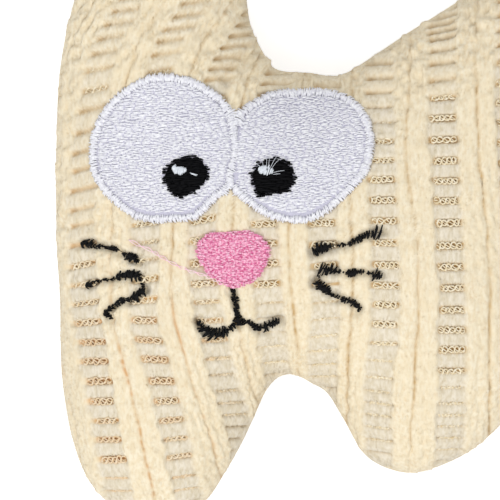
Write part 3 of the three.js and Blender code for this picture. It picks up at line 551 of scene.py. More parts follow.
def knit_relief(x, y, knit, seed):
    """How far the knit stands over the plain surface, with how much painted shade each place has down in a
    gap and in a crease, how much of it lies on a ladder bar and how much painted warm light falls on it. Ribs
    are rounded strips that slope down to the ladder columns, whose bars are flat where the knit is stretched,
    with a gap between each two, and round rolls where it is slack. Tufts of pile roughen all of it."""
    aside, column, to_crease, course, pitch = knit(x, y)
    sx = aside + 40 * column
    past = np.abs(aside) - COLUMN_HALF - 0.3 * noise(sx / 2.5, y / 1.3, seed + 1)
    left = smooth_step(x, -42, -46) * smooth_step(y, -20, -10) * (seed == FRONT_SEED)
    spread = smooth_step(pitch, *SPREAD_PITCHES) * (1 - 0.7 * left)
    slack = 1 - spread
    plump = slack * np.maximum(smooth_step(y, 13, 21), left)
    lump, tuft, curl, fibres = (
        noise(sx / wide, y / tall, seed + 2 + k) for k, (wide, tall) in enumerate(KNIT_LUMPS))
    # ribs
    crease = column + 0.5 * np.sign(aside)
    rag = noise(crease * 7.3, y / 1.1, seed + 6)
    strength = np.clip(0.55 + 0.45 * noise(crease * 3.1, y / 9, seed + 7) + 0.35 * rag, 0, 1)
    rib = RIB_LOW + RIB_RISE * arch((to_crease + 0.22 + 0.2 * rag) / RIB_ROUNDING)
    share = past / np.maximum(past + to_crease, 0.1)
    rib -= (0.1 + 0.04 * slack) * bell((share - 0.52) / 0.1) * (1 + lump)
    rib += 0.1 * lump + (0.12 + 0.05 * slack + 0.4 * plump) * tuft + (0.1 + 0.06 * slack) * curl
    # ladder
    to_gap = np.abs(course - np.round(course)) * pitch
    half_gap = 0.1 + 0.58 * spread
    inner = (to_gap - half_gap) / np.maximum(pitch / 2 - half_gap, 0.3)
    roll = arch(inner * (1.0 + 1.2 * spread) + 0.05)
    bars = BAR_LOW + (0.5 + 0.36 * slack + 0.3 * plump) * roll
    bars = bars + 0.1 * fibres + (0.05 + 0.08 * plump) * tuft + 0.07 * curl
    floor = GAP_LOW - 0.25 * spread - 0.1 * plump
    floor = floor + 0.42 * plump * smooth_step(aside, -1.9, -0.6) + 0.12 * curl
    wall = smooth_step(to_gap, half_gap - 0.3 + 0.24 * plump, half_gap + 0.12 + 0.45 * plump)
    ladder = floor + (bars - floor) * wall
    side = smooth_step(past, -0.45, 0.75)
    # a knot of pile at the left end of each gap, raised, and coloured in the crease tone as painted shadow of
    # the bar above it
    knot = bell((aside + 2.1) / 0.5) * np.clip(0.7 + 0.5 * lump, 0, 1) * (1 - wall) * (0.4 + 0.6 * spread)
    relief = ladder * (1 - side) + rib * side + 0.45 * knot
    # tones: painted shade in dashes along the creases, and painted shade in the gaps, fainter where the knit
    # is slack and its gaps close up
    dashes = np.clip(0.75 + 0.5 * noise(crease * 5.7, y / 0.8, seed + 8), 0, 1)
    crease_shade = np.where(crease < 0, 0.2, 1) * side * strength * dashes * (1 - 0.5 * plump)
    crease_shade = crease_shade * bell(np.maximum(to_crease, 0) / 0.32)
    gap_shade_strength = 1 - 0.5 * slack * np.clip(0.5 + 0.8 * lump + 0.5 * tuft, 0, 1) * (
        1 - plump * smooth_step(aside, 0.5, -1.5))
    gap_shade_strength *= 1 - plump * (0.6 - 0.5 * smooth_step(aside, -1.2, -2.6))
    in_gap = (1 - smooth_step(past, -0.35, 0.15)) * (1 - wall)
    warm = painted_warm_light(x, y)
    return relief, {
        "deep": in_gap * (1 - knot) * np.maximum(gap_shade_strength, warm),
        "crease": np.maximum(crease_shade, knot),
        "bar": (1 - side) * wall * (1 - 0.6 * plump),
        "warm": warm * (seed == FRONT_SEED)}


def painted_warm_light(x, y):
    """How much painted warm light falls on the knit's creases, gaps and core thread: at the left and most in
    the left foot.
    """
    foot = smooth_step(x, -14, -34) * smooth_step(y, -14, -32)
    edge = 0.5 * smooth_step(x, -40, -47) * smooth_step(y, 16, -4)
    return np.maximum(foot, edge) * (0.65 + 0.35 * noise(x / 2.4, y / 2.4, 107))


def cover_panel(side):
    """One half of the cover as a closed skin: the knitted outside in even rings from the rim to the
    spines, then the fold at the seam, the allowance and the inside. Gives points, faces and point
    values, and for the pile the outside's grid with its values."""
    front = side > 0
    loft = FRONT_LOFT if front else BACK_LOFT
    steps, count = COVER_GRIDS[side]
    outline, spine = outline_and_spine(steps)
    around = len(outline)
    shares = even_shares(count, loft)
    plan = outline + (spine - outline) * shares[:, None, None]
    room = np.empty(plan.shape[:2])
    near = shares < 0.12
    for part, edge in ((near, outline), (~near, outline[::2])):
        room[part] = roominess(plan[part].reshape(-1, 2), edge).reshape(-1, around)
    height = np.sqrt(loft * room)
    base = np.concatenate([plan, height[..., None]], 2)
    # normals across the grid, and at the spines from the slopes
    normal = np.cross(np.roll(base, -1, 1) - np.roll(base, 1, 1), np.gradient(base, axis=0))
    normal[-1] = dome(plan[-1], loft, outline[::2])[1]
    normal = unit(normal)
    normal *= np.where(normal[..., 2:] < 0, -1, 1)
    x, y, height = plan[..., 0].ravel(), plan[..., 1].ravel(), height.ravel()
    relief, values = knit_relief(
        x, y, front_knit if front else back_knit, FRONT_SEED if front else BACK_SEED)
    values["stitched"] = np.zeros(len(x))
    if front:
        relief, values["stitched"] = face_bed(x, y, relief)
    fade = smooth_step(height, 0.6, 2.6)
    # the painted shade in the gaps fades out toward the rim
    values["deep"] = values["deep"] * smooth_step(height, 1.2, 3.6)
    outside = base.reshape(-1, 3) + normal.reshape(-1, 3) * (relief * fade)[:, None]
    outside[:, 2] = SEAM_HEIGHT + side * outside[:, 2]
    if not front:
        outside[:, 2] = np.maximum(outside[:, 2], 0.0)
    outside = outside.reshape(count, around, 3)
    outer = {key: value.reshape(count, around) for key, value in values.items()}
    # one grid from the outer spine over the rim to the inner spine
    lining = lining_rings(side, outline, spine, loft)
    grid = np.concatenate([outside[::-1].reshape(-1, 3), lining])
    quads = ring_faces(len(grid) // around, around, flip=not front)
    for key, value in outer.items():
        values[key] = np.concatenate([value[::-1].ravel(), np.zeros(len(lining))])
    # the rings at the two ends lie along the spines: weld the points that meet there
    weld = np.arange(len(grid))
    meets = (np.abs(spine[:, None] - spine[None]).max(2) < 0.001).argmax(1)
    weld[:around] = weld[:around][meets]
    weld[-around:] = weld[-around:][meets]
    outer["deep"] = np.where(fade.reshape(count, around) > 0, outer["deep"], 1)
    return grid, tidy_faces(weld[quads]), values, (outside, outer)


def lining_rings(side, outline, spine, loft):
    """Points of the fold at the seam, the allowance turned in and the plain inside of one half of
    the cover, in rings from the rim to the spines."""
    along = np.roll(outline, -1, 0) - np.roll(outline, 1, 0)
    along /= np.hypot(*along.T)[:, None]
    inwards = np.column_stack([along[:, 1], -along[:, 0]])
    low, top = SEAM_GAP / 2, SEAM_GAP / 2 + FABRIC
    rings = [
        np.column_stack([outline + inwards * inset, np.full(len(outline), z)]) for inset, z in (
            (0.3, 0.62), (0.85, 0.3), (SEAM_FOLD, low), (SEAM_ALLOWANCE, low), (SEAM_ALLOWANCE, top),
            (FABRIC + 0.3, top))]
    for share in LINING_SHARES:
        ring = outline + (spine - outline) * share
        height, normal = dome(ring, loft, outline[::2])
        inner = np.maximum(height - normal[:, 2] * FABRIC, top + 0.3)
        rings.append(np.column_stack([ring - normal[:, :2] * FABRIC, inner]))
    lining = np.concatenate(rings)
    lining[:, 2] = SEAM_HEIGHT + side * lining[:, 2]
    if side < 0:
        lining[:, 2] = np.maximum(lining[:, 2], LINING_LOW)
    return lining


def tidy_faces(quads):
    """Quads and triangles of a grid after points were welded, without those that have no area."""
    a, b, c, d = quads.T
    full = (a != b) & (b != c) & (c != d) & (d != a) & (a != c) & (b != d)
    rest = quads[~full]
    tris = np.concatenate([rest[:, [0, 1, 2]], rest[:, [0, 2, 3]]])
    good = (tris[:, 0] != tris[:, 1]) & (tris[:, 1] != tris[:, 2]) & (tris[:, 2] != tris[:, 0])
    return [quads[full], tris[good]]


def face_bed(x, y, relief):
    """The knit pressed down under the stitches and bulging beside them, and how much each place is
    under the fills."""
    outside = np.minimum(ellipse_distance(x, y, EYES["left"]), ellipse_distance(x, y, EYES["right"]))
    outside = np.minimum(outside, ellipse_distance(x, y, NOSE_ROUGH) + 0.4)
    under = smooth_step(outside, 0.1, -0.9)
    beside = bell((outside - 1.5) / 1.1) * (outside > 0)
    relief = relief * (1 - 0.8 * under) - 0.75 * under + 0.15 * beside
    # each line by how wide its groove is, how far from it the ridge stands and how wide that is
    lines = [(EAR_FOLD, 1.1, 2.4, 1.1)]
    lines += [([point[:2] for point in line], 0.8, 2.0, 0.9) for line in SATIN_LINES.values()]
    for line, groove, aside, ridge in lines:
        d = polyline_distance(x, y, line)
        relief = relief - 0.9 * bell(d / groove) + 0.3 * bell((d - aside) / ridge)
    return relief, under


# Embroidery. Satin lines as (x, y, width), black fills and white glints by their edges.
SATIN_LINES = {
    "mouth_stem": [(-22.0, -20.3, 0.9), (-21.3, -22.8, 1.5), (-21.0, -24.8, 1.1), (-20.8, -26.3, 2.2),
        (-20.7, -27.9, 2.6)],
    "mouth_left": [(-29.0, -26.9, 0.9), (-27.6, -28.7, 1.9), (-26.2, -29.5, 2.4), (-24.9, -29.8, 2.4),
        (-24.3, -29.7, 1.1), (-23.4, -29.3, 2.1), (-22.4, -28.8, 1.4), (-21.2, -27.5, 1.2)],
    "mouth_right": [(-20.2, -26.8, 1.2), (-18.4, -27.3, 1.1), (-17.2, -28.4, 1.2), (-15.6, -28.6, 1.6),
        (-14.2, -27.7, 1.4), (-12.6, -27.0, 1.3)],
    "whisker_left_1": [(-52.0, -11.7, 1.1), (-50.8, -11.8, 1.7), (-49.8, -12.0, 0.9),
        (-48.6, -12.1, 1.2), (-47.6, -12.3, 0.6), (-46.6, -12.5, 0.7), (-45.4, -12.7, 1.1),
        (-44.4, -13.2, 0.5), (-43.4, -13.7, 0.8), (-42.4, -14.1, 2.1), (-41.4, -14.7, 1.6),
        (-40.4, -15.4, 0.5)],
    "whisker_left_2": [(-51.0, -19.9, 1.2), (-50.4, -19.6, 1.3), (-49.4, -19.3, 0.6),
        (-47.6, -18.9, 0.6), (-46.0, -18.7, 0.5), (-44.9, -18.4, 0.8), (-44.4, -18.0, 1.6),
        (-42.4, -17.9, 2.0), (-40.8, -17.9, 2.0), (-40.4, -18.2, 0.9), (-40.0, -19.3, 0.6),
        (-39.6, -20.5, 0.9)],
    "whisker_left_3": [(-39.4, -21.1, 1.6), (-40.4, -21.6, 1.8), (-41.9, -22.7, 1.4),
        (-43.0, -23.0, 1.0), (-43.9, -23.1, 1.5), (-45.0, -23.7, 0.9), (-45.9, -24.4, 1.1),
        (-47.3, -25.4, 1.1), (-46.8, -26.1, 1.1), (-46.0, -26.7, 0.6)],
    "whisker_right_1": [(-5.8, -13.5, 1.4), (-4.8, -12.7, 1.8), (-3.4, -12.3, 1.7), (-1.9, -12.0, 0.9),
        (-1.0, -11.9, 0.5), (-0.2, -12.0, 1.1), (0.6, -11.9, 0.4), (1.4, -11.7, 1.2),
        (2.2, -11.1, 0.8), (3.1, -10.7, 1.8), (4.0, -10.0, 1.1), (5.1, -9.7, 1.6), (6.6, -9.4, 2.0),
        (8.0, -9.5, 2.0)],
    "whisker_right_2": [(-4.5, -16.7, 2.2), (-2.4, -16.8, 1.6), (-0.9, -17.3, 1.0), (0.4, -17.3, 0.5),
        (1.8, -17.4, 1.8), (3.0, -17.4, 1.0), (4.1, -17.3, 1.1), (5.6, -17.5, 0.6), (6.6, -17.9, 2.0),
        (8.0, -18.1, 1.5)],
    "whisker_right_join": [(-4.4, -17.9, 0.5), (-4.9, -18.8, 0.6)],
    "whisker_right_3": [(-5.4, -19.3, 1.3), (-4.6, -19.9, 1.7), (-3.6, -20.7, 1.8), (-2.2, -21.9, 0.7),
        (-0.6, -22.4, 0.9), (1.1, -23.0, 1.4), (2.6, -23.7, 1.2), (3.4, -24.4, 1.0), (3.1, -25.1, 0.5)],
}
PUPIL_KNOTS = {
    "left": [(-30.4, 6.1), (-27.6, 5.2), (-26.1, 2.5), (-26.9, 0.2), (-29.0, -1.6), (-32.2, -2.8),
        (-34.4, -1.8), (-35.9, 1.3), (-35.2, 3.7), (-33.2, 5.4)],
    "right": [(-13.4, 5.5), (-10.6, 4.6), (-9.2, 2.1), (-9.5, -0.4), (-11.4, -1.9), (-14.2, -2.2),
        (-16.9, -2.5), (-17.9, -1.2), (-18.6, 1.5), (-17.9, 3.6), (-16.0, 5.0)],
}
GLINT_KNOTS = {
    "left": [(-33.6, 3.7), (-32.4, 4.0), (-31.6, 3.5), (-30.9, 2.9), (-31.6, 2.2), (-33.0, 2.0),
        (-33.6, 2.9)],
    "right": [(-16.6, 3.1), (-15.8, 3.6), (-14.4, 3.6), (-13.9, 2.9), (-14.2, 2.0), (-15.8, 1.8),
        (-16.6, 2.3)],
}
# How full each line's padding is at its points, where that isn't the usual half
SATIN_PADDING = {
    "whisker_right_1": [1, 1, 0.8, 0, 0, 0, 0, 0, 0.2, 0.7, 0.2, 0, 0, 0],
    "whisker_right_2": [0.3, 0.2, 0, 0, 0.7, 0.3, 0, 0, 0.2, 0],
    "whisker_left_1": [1, 1, 0.4, 0.6, 0, 0.2, 0.5, 0, 0.2, 1, 0.6, 0],
    "whisker_left_2": [1, 1, 0.2, 0, 0, 0.2, 0.6, 1, 0.8, 0.2, 0, 0.3],
}
EAR_FOLD = [(-23.2, 21.4), (-22.0, 23.0), (-20.0, 25.0), (-16.6, 27.2)]
STRAY_THREAD = [(-42.4, -10.9), (-38.2, -12.9), (-36.2, -14.1), (-33.0, -15.9), (-30.2, -17.1),
    (-27.2, -17.9), (-25.4, -18.7), (-24.0, -19.7)]
# Stray stitches about the glints, by their ends
GLINT_WISPS = {
    "left": [[(-30.3, 2.4), (-28.6, 1.9)], [(-30.1, 2.2), (-28.9, 1.75)]],
    "right": [
        [(-16.2, 3.2), (-17.9, 4.4)], [(-15.8, 3.3), (-16.2, 5.0)], [(-15.2, 3.4), (-15.3, 5.3)],
        [(-14.8, 3.4), (-14.5, 5.4)], [(-14.4, 3.2), (-13.2, 5.3)], [(-14.2, 3.0), (-12.6, 4.8)],
        [(-13.9, 1.9), (-12.4, 2.0)], [(-14.0, 2.2), (-11.6, 2.6)]],
}
# How high stitches rise over the stuffed surface, at shares of their length
FILL_PROFILE = [(0, 0.1), (0.18, 0.5), (0.5, 0.62), (0.82, 0.5), (1, 0.1)]
RIM_PROFILE = [(0, 0.3), (0.2, 0.66), (0.5, 0.82), (0.85, 0.55), (1, -0.2)]
BRIDGE_PROFILE = [(0, 0.35), (0.3, 0.6), (0.7, 0.6), (1, 0.35)]
SATIN_PROFILE = [(0, -0.45), (0.15, 0.1), (0.5, 0.5), (0.85, 0.1), (1, -0.45)]
PUPIL_PROFILE = [(0, 0.0), (0.15, 0.75), (0.5, 0.95), (0.85, 0.75), (1, 0.0)]
GLINT_PROFILE = [(0, 0.5), (0.2, 1.2), (0.5, 1.35), (0.8, 1.2), (1, 0.5)]
WISP_PROFILE = [(0, 1.0), (0.5, 1.3), (1, 1.05)]
PUPIL_THREAD, GLINT_THREAD, NOSE_THREAD, STRAY_RADIUS = 0.21, 0.17, 0.185, 0.085  # radii
PAD_TOP, PAD_LOW = 0.42, -0.9  # rises of the cushions under the fills
STITCH_BOW = 0.05  # how far stitches bow aside
SATIN_STEP, SATIN_SLANT = 0.36, 0.3
RIM_STEP = 0.105  # from one stitch of a rim to the next
BRIDGE_ROWS = (-0.5, 14.2, 0.16)  # first and last height of the stitches between the rims, and step
# The lower left and upper right corner of the table of heights under the face, and its step
FACE_CORNERS = (-56.0, -34.0, 14.0, 26.0)
FACE_STEP = 0.5


def face_table():
    """Height and slopes of the stuffed front over an even grid round the face."""
    x = np.arange(FACE_CORNERS[0], FACE_CORNERS[2], FACE_STEP)
    y = np.arange(FACE_CORNERS[1], FACE_CORNERS[3], FACE_STEP)
    gx, gy = np.meshgrid(x, y)
    room = roominess(np.column_stack([gx.ravel(), gy.ravel()]), FINE_OUTLINE).reshape(gx.shape)
    height = np.sqrt(FRONT_LOFT * room)
    sy, sx = np.gradient(height, FACE_STEP)
    return height, sx, sy


FACE_TABLE = face_table()


def over_face(plan, rise):
    """Points over plan places of the face, rise above the stuffed front along its normal, looked up
    between the places of the face's grid."""
    rows, columns = FACE_TABLE[0].shape
    u = np.clip((plan[..., 0] - FACE_CORNERS[0]) / FACE_STEP, 0, columns - 1.001)
    v = np.clip((plan[..., 1] - FACE_CORNERS[1]) / FACE_STEP, 0, rows - 1.001)
    i, j = u.astype(int), v.astype(int)
    u, v = u - i, v - j
    height, sx, sy = (
        (t[j, i] * (1 - u) + t[j, i + 1] * u) * (1 - v) + (t[j + 1, i] * (1 - u) + t[j + 1, i + 1] * u) * v
        for t in FACE_TABLE)
    normal = unit(np.stack([-sx, -sy, np.ones_like(sx)], -1))
    at = np.concatenate([plan, (SEAM_HEIGHT + height)[..., None]], -1)
    return at + normal * np.asarray(rise)[..., None]


def inside_loop(x, y, loop):
    """Whether plan places lie inside a closed loop, by counting the edges crossed on the way right."""
    count = np.zeros(x.shape, int)
    for (ax, ay), (bx, by) in zip(loop, np.roll(loop, -1, 0)):
        crosses = (ay > y) != (by > y)
        with np.errstate(divide="ignore", invalid="ignore"):
            count += crosses & (x < ax + (y - ay) * (bx - ax) / (by - ay))
    return count % 2 == 1


def turned(points, degrees):
    """Plan places turned about the middle, anticlockwise."""
    a = math.radians(degrees)
    return points @ np.array([[math.cos(a), math.sin(a)], [-math.sin(a), math.cos(a)]])


def ellipse_loop(spec, grow, count=72):
    """Points round a turned ellipse with its swell, its half axes longer by grow."""
    t = np.arange(count) * 2 * np.pi / count
    loop = np.column_stack([(spec["half"][0] + grow) * np.cos(t), (spec["half"][1] + grow) * np.sin(t)])
    loop = turned(loop, spec["tilt"])
    return loop * (1 + swell_at(spec, *loop.T) / np.hypot(*loop.T))[:, None] + spec["at"]


def fill_rows(loop, holes, turn, spacing, length, seed, ragged=0.15):
    """Stitches that fill a loop but for its holes: rows at an even spacing, cut into stitches of
    about one length that start a little further on in each row. Gives starts and ends in plan."""
    rng = np.random.default_rng(seed)
    rows = turned(loop, -turn)
    holes = [turned(h, -turn) for h in holes]
    starts, ends = [], []
    along = np.arange(rows[:, 0].min() - 1, rows[:, 0].max() + 1, 0.05)
    for y in np.arange(rows[:, 1].min() + spacing / 3, rows[:, 1].max(), spacing):
        inside = inside_loop(along, np.full(len(along), y), rows)
        for hole in holes:
            inside &= ~inside_loop(along, np.full(len(along), y), hole)
        edges = np.flatnonzero(np.diff(inside.astype(int)))
        for low, high in zip(along[edges[::2]], along[edges[1::2]]):
            low += rng.uniform(-ragged, ragged)
            high += rng.uniform(-ragged, ragged)
            if high - low < 0.35:
                continue
            cuts = np.arange(low - length * rng.uniform(0, 1), high, length)
            cuts = cuts + rng.uniform(-0.35, 0.35, len(cuts)) * length
            cuts = np.concatenate([[low], cuts[(cuts > low + 0.5) & (cuts < high - 0.5)], [high]])
            starts += [(a, y) for a in cuts[:-1]]
            ends += [(b, y) for b in cuts[1:]]
    wander = rng.normal(0, spacing * 0.16, (2, len(starts)))
    starts, ends = np.array(starts), np.array(ends)
    starts[:, 1] += wander[0]
    ends[:, 1] += wander[1]
    return turned(starts, turn), turned(ends, turn)


def stitches(starts, ends, profile, radius, seeds, sides=6, lift=0.05, sink=0.0):
    """Straight stitches over the face as tubes. profile gives the rise above the stuffed surface at
    shares of the length. Each stitch bows and lifts a little, has a radius of its own and is thinner
    where it dives into the cloth. seeds are those of the paths and of the radii."""
    rng = np.random.default_rng(seeds[0])
    t = np.linspace(0, 1, 7)
    taper = 1 - 0.4 * np.abs(2 * t - 1) ** 4
    t = 0.5 * t + 0.5 * (t * t * (3 - 2 * t))
    plan = starts[:, None] * (1 - t[:, None]) + ends[:, None] * t[:, None]
    ahead = ends - starts
    across = unit(np.column_stack([-ahead[:, 1], ahead[:, 0]]))
    hump = np.sin(np.pi * t)
    plan += across[:, None] * (rng.normal(0, STITCH_BOW, len(starts))[:, None] * hump)[..., None]
    rise = np.interp(t, *zip(*profile))[None] + rng.normal(0, lift, len(starts))[:, None] * hump
    paths = over_face(plan, rise)
    paths[..., 2] += np.reshape(sink, (-1, 1))
    thick = np.random.default_rng(seeds[1]).uniform(0.88, 1.1, len(paths))
    return tube_mesh(paths, radius * taper[None] * thick[:, None], sides)


def pad_mesh(loop, top, low, rings=8):
    """A thin cushion that fills a loop: rings that shrink to its middle over the face at a rise of
    top, round the edge and back underneath at low."""
    middle, count = loop.mean(0), len(loop)
    shares = np.concatenate([np.linspace(0.02, 1, rings), [1.0], np.linspace(1, 0.02, rings)])
    edge = 0.15 * (top - low)
    flat = np.ones(rings - 1)
    rise = np.concatenate([top * flat, [top - edge, (top + low) / 2, low + edge], low * flat])
    plan = middle + (loop - middle) * shares[:, None, None]
    points = over_face(plan, np.broadcast_to(rise[:, None], plan.shape[:2]))
    centre = over_face(np.array([middle, middle]), np.array([top, low]))
    points = np.concatenate([points.reshape(-1, 3), centre])
    fan, beside = np.arange(count), (np.arange(count) + 1) % count
    first, last = len(points) - 2, (len(shares) - 1) * count
    caps = [np.column_stack([fan, beside, np.full(count, first)]),
            np.column_stack([last + beside, last + fan, np.full(count, first + 1)])]
    return points, [ring_faces(len(shares), count, flip=True), *caps]


def satin_line(line, padding, seed):
    """Zig-zag stitches across a line of changing width, some left out where it is thin or not
    padded: starts and ends in plan, and the widths there."""
    rng = np.random.default_rng(seed)
    run = np.concatenate([[0], np.cumsum(np.hypot(*np.diff(line[:, :2], axis=0).T))])
    at = np.arange(0, run[-1] + 0.01, SATIN_STEP / 2)
    x, y, width = (np.interp(at, run, line[:, k]) for k in range(3))
    full = np.interp(at, run, padding)[:-1]
    ahead = np.gradient(np.column_stack([x, y]), axis=0)
    ahead /= np.linalg.norm(ahead, axis=1)[:, None]
    side = np.column_stack([-ahead[:, 1], ahead[:, 0]])
    half = width / 2 * np.where(np.arange(len(at)) % 2, 1, -1)
    half = half * (0.68 + 0.38 * smooth_step(width, 0.6, 1.9)) * rng.uniform(0.5, 1.5, len(at))
    lean = (SATIN_SLANT + rng.normal(0, 0.2, len(at))) * half
    ends = np.column_stack([x, y]) + side * half[:, None] + ahead * lean[:, None]
    ends += rng.normal(0, 0.06, ends.shape)
    width = (width[:-1] + width[1:]) / 2
    least = 0.45 * (1 - smooth_step(width, 0.5, 1.2)) + 0.3 * (1 - full)
    kept = rng.uniform(0, 1, len(width)) > least
    return ends[:-1][kept], ends[1:][kept], width[kept]


def satin_tubes(names, seed, settings):
    """Satin stitches along named lines, over a padding thread whose radius follows the line's width
    where the line is wide."""
    parts = []
    for k, name in enumerate(names):
        line = np.array(SATIN_LINES[name])
        last = len(line) - 1
        padding = np.array(SATIN_PADDING.get(name, [0.5] * len(line)))
        at = np.linspace(0, last, 6 * len(line))
        x, y, width, full = (np.interp(at, np.arange(len(line)), v) for v in (*line.T, padding))
        wide = smooth_step(width, 0.9, 1.7) * full
        core = over_face(np.column_stack([x, y]), -0.7 + 0.5 * wide)[None]
        ends = np.minimum(1, 0.2 + 1.2 * np.minimum(at, last - at))
        parts.append(tube_mesh(core, (0.06 + 0.28 * width * wide * ends)[None], 8))
        starts, ends, width = satin_line(line, padding, seed + k)
        sink = -0.65 * (1 - smooth_step(width, 0.5, 1.4))
        radius = settings.line_thread / MM
        parts.append(stitches(starts, ends, SATIN_PROFILE, radius, (seed + k, seed + k), sink=sink))
    return join_meshes(*parts)


# Seam, backing, filling and squeaker

CLOSING = (46 / 114, 56 / 114)  # the turning gap, as shares of the way round
SEAM_THREAD, CLOSING_THREAD = 0.26, 0.24  # radii
CLOSING_STITCH = 2.4
# The backing's edge, as shares of the toy's width and height
BACKING_SHARES = [
    (0.056, 0.553), (0.098, 0.651), (0.191, 0.685), (0.278, 0.664), (0.360, 0.618), (0.437, 0.616),
    (0.520, 0.622), (0.573, 0.575), (0.577, 0.470), (0.570, 0.350), (0.460, 0.285), (0.313, 0.262),
    (0.180, 0.275), (0.085, 0.310), (0.056, 0.375), (0.054, 0.460),
]
BACKING_TOP, BACKING_THICKNESS = -2.3, 0.5  # its rise over the stuffed surface
WAD_FACE = 1.1  # size of the faces that the wads are cut into
BULB_CORNER, BULB_WALL, BULB_NECK = 7.0, 0.9, 4.7

# Stage, in metres but for the middle of the view

FLOOR_HALF, FLOOR_DROP = 6, 0.0003
LAMP_PLACE, LAMP_SIZE = (-0.22, -0.6, 1.25), 0.9
SENSOR_WIDTH = 36  # of the camera, in its own millimetres
VIEW_MIDDLE = (-18.4, -12.9)


# Materials

def linear(code):
    """An sRGB hex colour as linear RGBA."""
    values = [int(code[i:i + 2], 16) / 255 for i in (1, 3, 5)]
    return tuple(v / 12.92 if v <= 0.04045 else ((v + 0.055) / 1.055) ** 2.4 for v in values) + (1.0,)


def set_inputs(tree, node, inputs):
    """Gives inputs of a node, by name or number, a value each or the output socket that feeds it."""
    for key, value in inputs.items():
        if isinstance(value, bpy.types.NodeSocket):
            tree.links.new(value, node.inputs[key])
        else:
            node.inputs[key].default_value = value


def add_node(tree, kind, inputs=None, **settings):
    """Adds a node with settings and inputs."""
    node = tree.nodes.new(kind)
    for key, value in settings.items():
        setattr(node, key, value)
    set_inputs(tree, node, inputs or {})
    return node


def new_material(name):
    """A material, its node tree and its shader node."""
    material = bpy.data.materials.new(name)
    material.use_nodes = True
    return material, material.node_tree, material.node_tree.nodes["Principled BSDF"]


def darker(colour, share):
    """A colour whose red, green and blue are a share of what they were."""
    return (*(value * share for value in tuple(colour)[:3]), 1.0)


# How the knit's colour is mixed, step by step: what a step makes, by how much of what, from and to
KNIT_MIXES = (
    ("rib", "light", "rib_shade", "rib_colour"),
    ("rib", "spots", "rib", "spot_colour"),
    ("rib", "patch", "rib", "patch_colour"),
    ("barred", "light", "bar_shade", "bar_colour"),
    ("knit", "bar", "rib", "barred"),
    # painted shade of the creases and gaps, tinted by painted warm light at the left
    ("line", "warm", "crease_shade_colour", "warm_light_colour"),
    ("gap", "warm", "gap_shade_colour", "warm_light_colour"),
    ("knit", "crease", "knit", "line"),
    ("knit", "deep", "knit", "gap"),
)


def knit_colours(tree, settings):
    """The knit's colour from the point values bar, crease, deep and warm, with soft streaks along the
    columns, spots of a warmer tone and broad patches. The values crease and deep bring in painted shade down
    in the creases and gaps, and warm brings painted warm light. Pattern sizes are in millimetres."""
    where = add_node(tree, "ShaderNodeTexCoord").outputs["Object"]
    drawn = add_node(tree, "ShaderNodeVectorMath", {0: where, 1: (1.0, 0.4, 1.0)}, operation="MULTIPLY")
    parts = {}
    for name, vector, size, detail in (
            ("streak", drawn.outputs[0], 2 / 3, 3.0), ("spot", where, 10 / 11, 2.0),
                ("patch", where, 25 / 3, 2.0)):
        parts[name] = add_node(tree, "ShaderNodeTexNoise", {
            "Vector": vector, "Scale": 1 / (size * MM), "Detail": detail}).outputs["Fac"]
    for name, source, low, high, most in (
            ("light", "streak", 0.35, 0.65, 1.0), ("spots", "spot", 0.56, 0.74, 0.55)):
        parts[name] = add_node(tree, "ShaderNodeMapRange", {
            "Value": parts[source], 1: low, 2: high, 3: 0.0, 4: most}).outputs[0]
    for name in ("bar", "crease", "deep", "warm"):
        parts[name] = add_node(tree, "ShaderNodeAttribute", attribute_name=name).outputs["Fac"]
    for name, factor, *ends in KNIT_MIXES:
        low, high = (parts[end] if end in parts else tuple(getattr(settings, end)) for end in ends)
        parts[name] = add_node(
            tree, "ShaderNodeMix", {0: parts[factor], 6: low, 7: high}, data_type="RGBA").outputs[2]
    return parts["knit"]


def chenille_material(name, settings):
    """Brushed chenille knit, polyester: short dense pile that scatters light softly, lighter on the ribs,
    greyer on the bars, with painted shade, warm and dark, down in the creases and gaps, and painted warm
    light at the left."""
    material, tree, shader = new_material(name)
    set_inputs(tree, shader, {
        "Base Color": knit_colours(tree, settings), "Roughness": 0.95, "Specular IOR Level": 0.15,
        "Sheen Weight": 0.2, "Sheen Roughness": 0.5})
    return material


def pile_material(name, settings):
    """Single fibres of the pile, fine translucent polyester: they pass light on to one another, so
    the fuzz stays bright and edges look soft. Each is a little lighter or darker by its tone."""
    material, tree, shader = new_material(name)
    tone = add_node(tree, "ShaderNodeAttribute", attribute_name="tone").outputs["Fac"]
    tone = add_node(tree, "ShaderNodeMath", {0: tone, 1: 0.5, 2: 0.5}, operation="MULTIPLY_ADD").outputs[0]
    shade = add_node(
        tree, "ShaderNodeMix", {0: tone, 6: linear("#FAF6EE"), 7: linear("#FFFFFF")}, data_type="RGBA")
    colour = add_node(
        tree, "ShaderNodeMix", {0: 1.0, 6: knit_colours(tree, settings), 7: shade.outputs[2]},
        data_type="RGBA", blend_type="MULTIPLY").outputs[2]
    set_inputs(tree, shader, {"Base Color": colour, "Roughness": 0.8, "Specular IOR Level": 0.2})
    through = add_node(tree, "ShaderNodeBsdfTranslucent", {"Color": colour})
    both = add_node(tree, "ShaderNodeMixShader", {0: 0.45, 1: shader.outputs[0], 2: through.outputs[0]})
    set_inputs(tree, tree.nodes["Material Output"], {"Surface": both.outputs[0]})
    return material


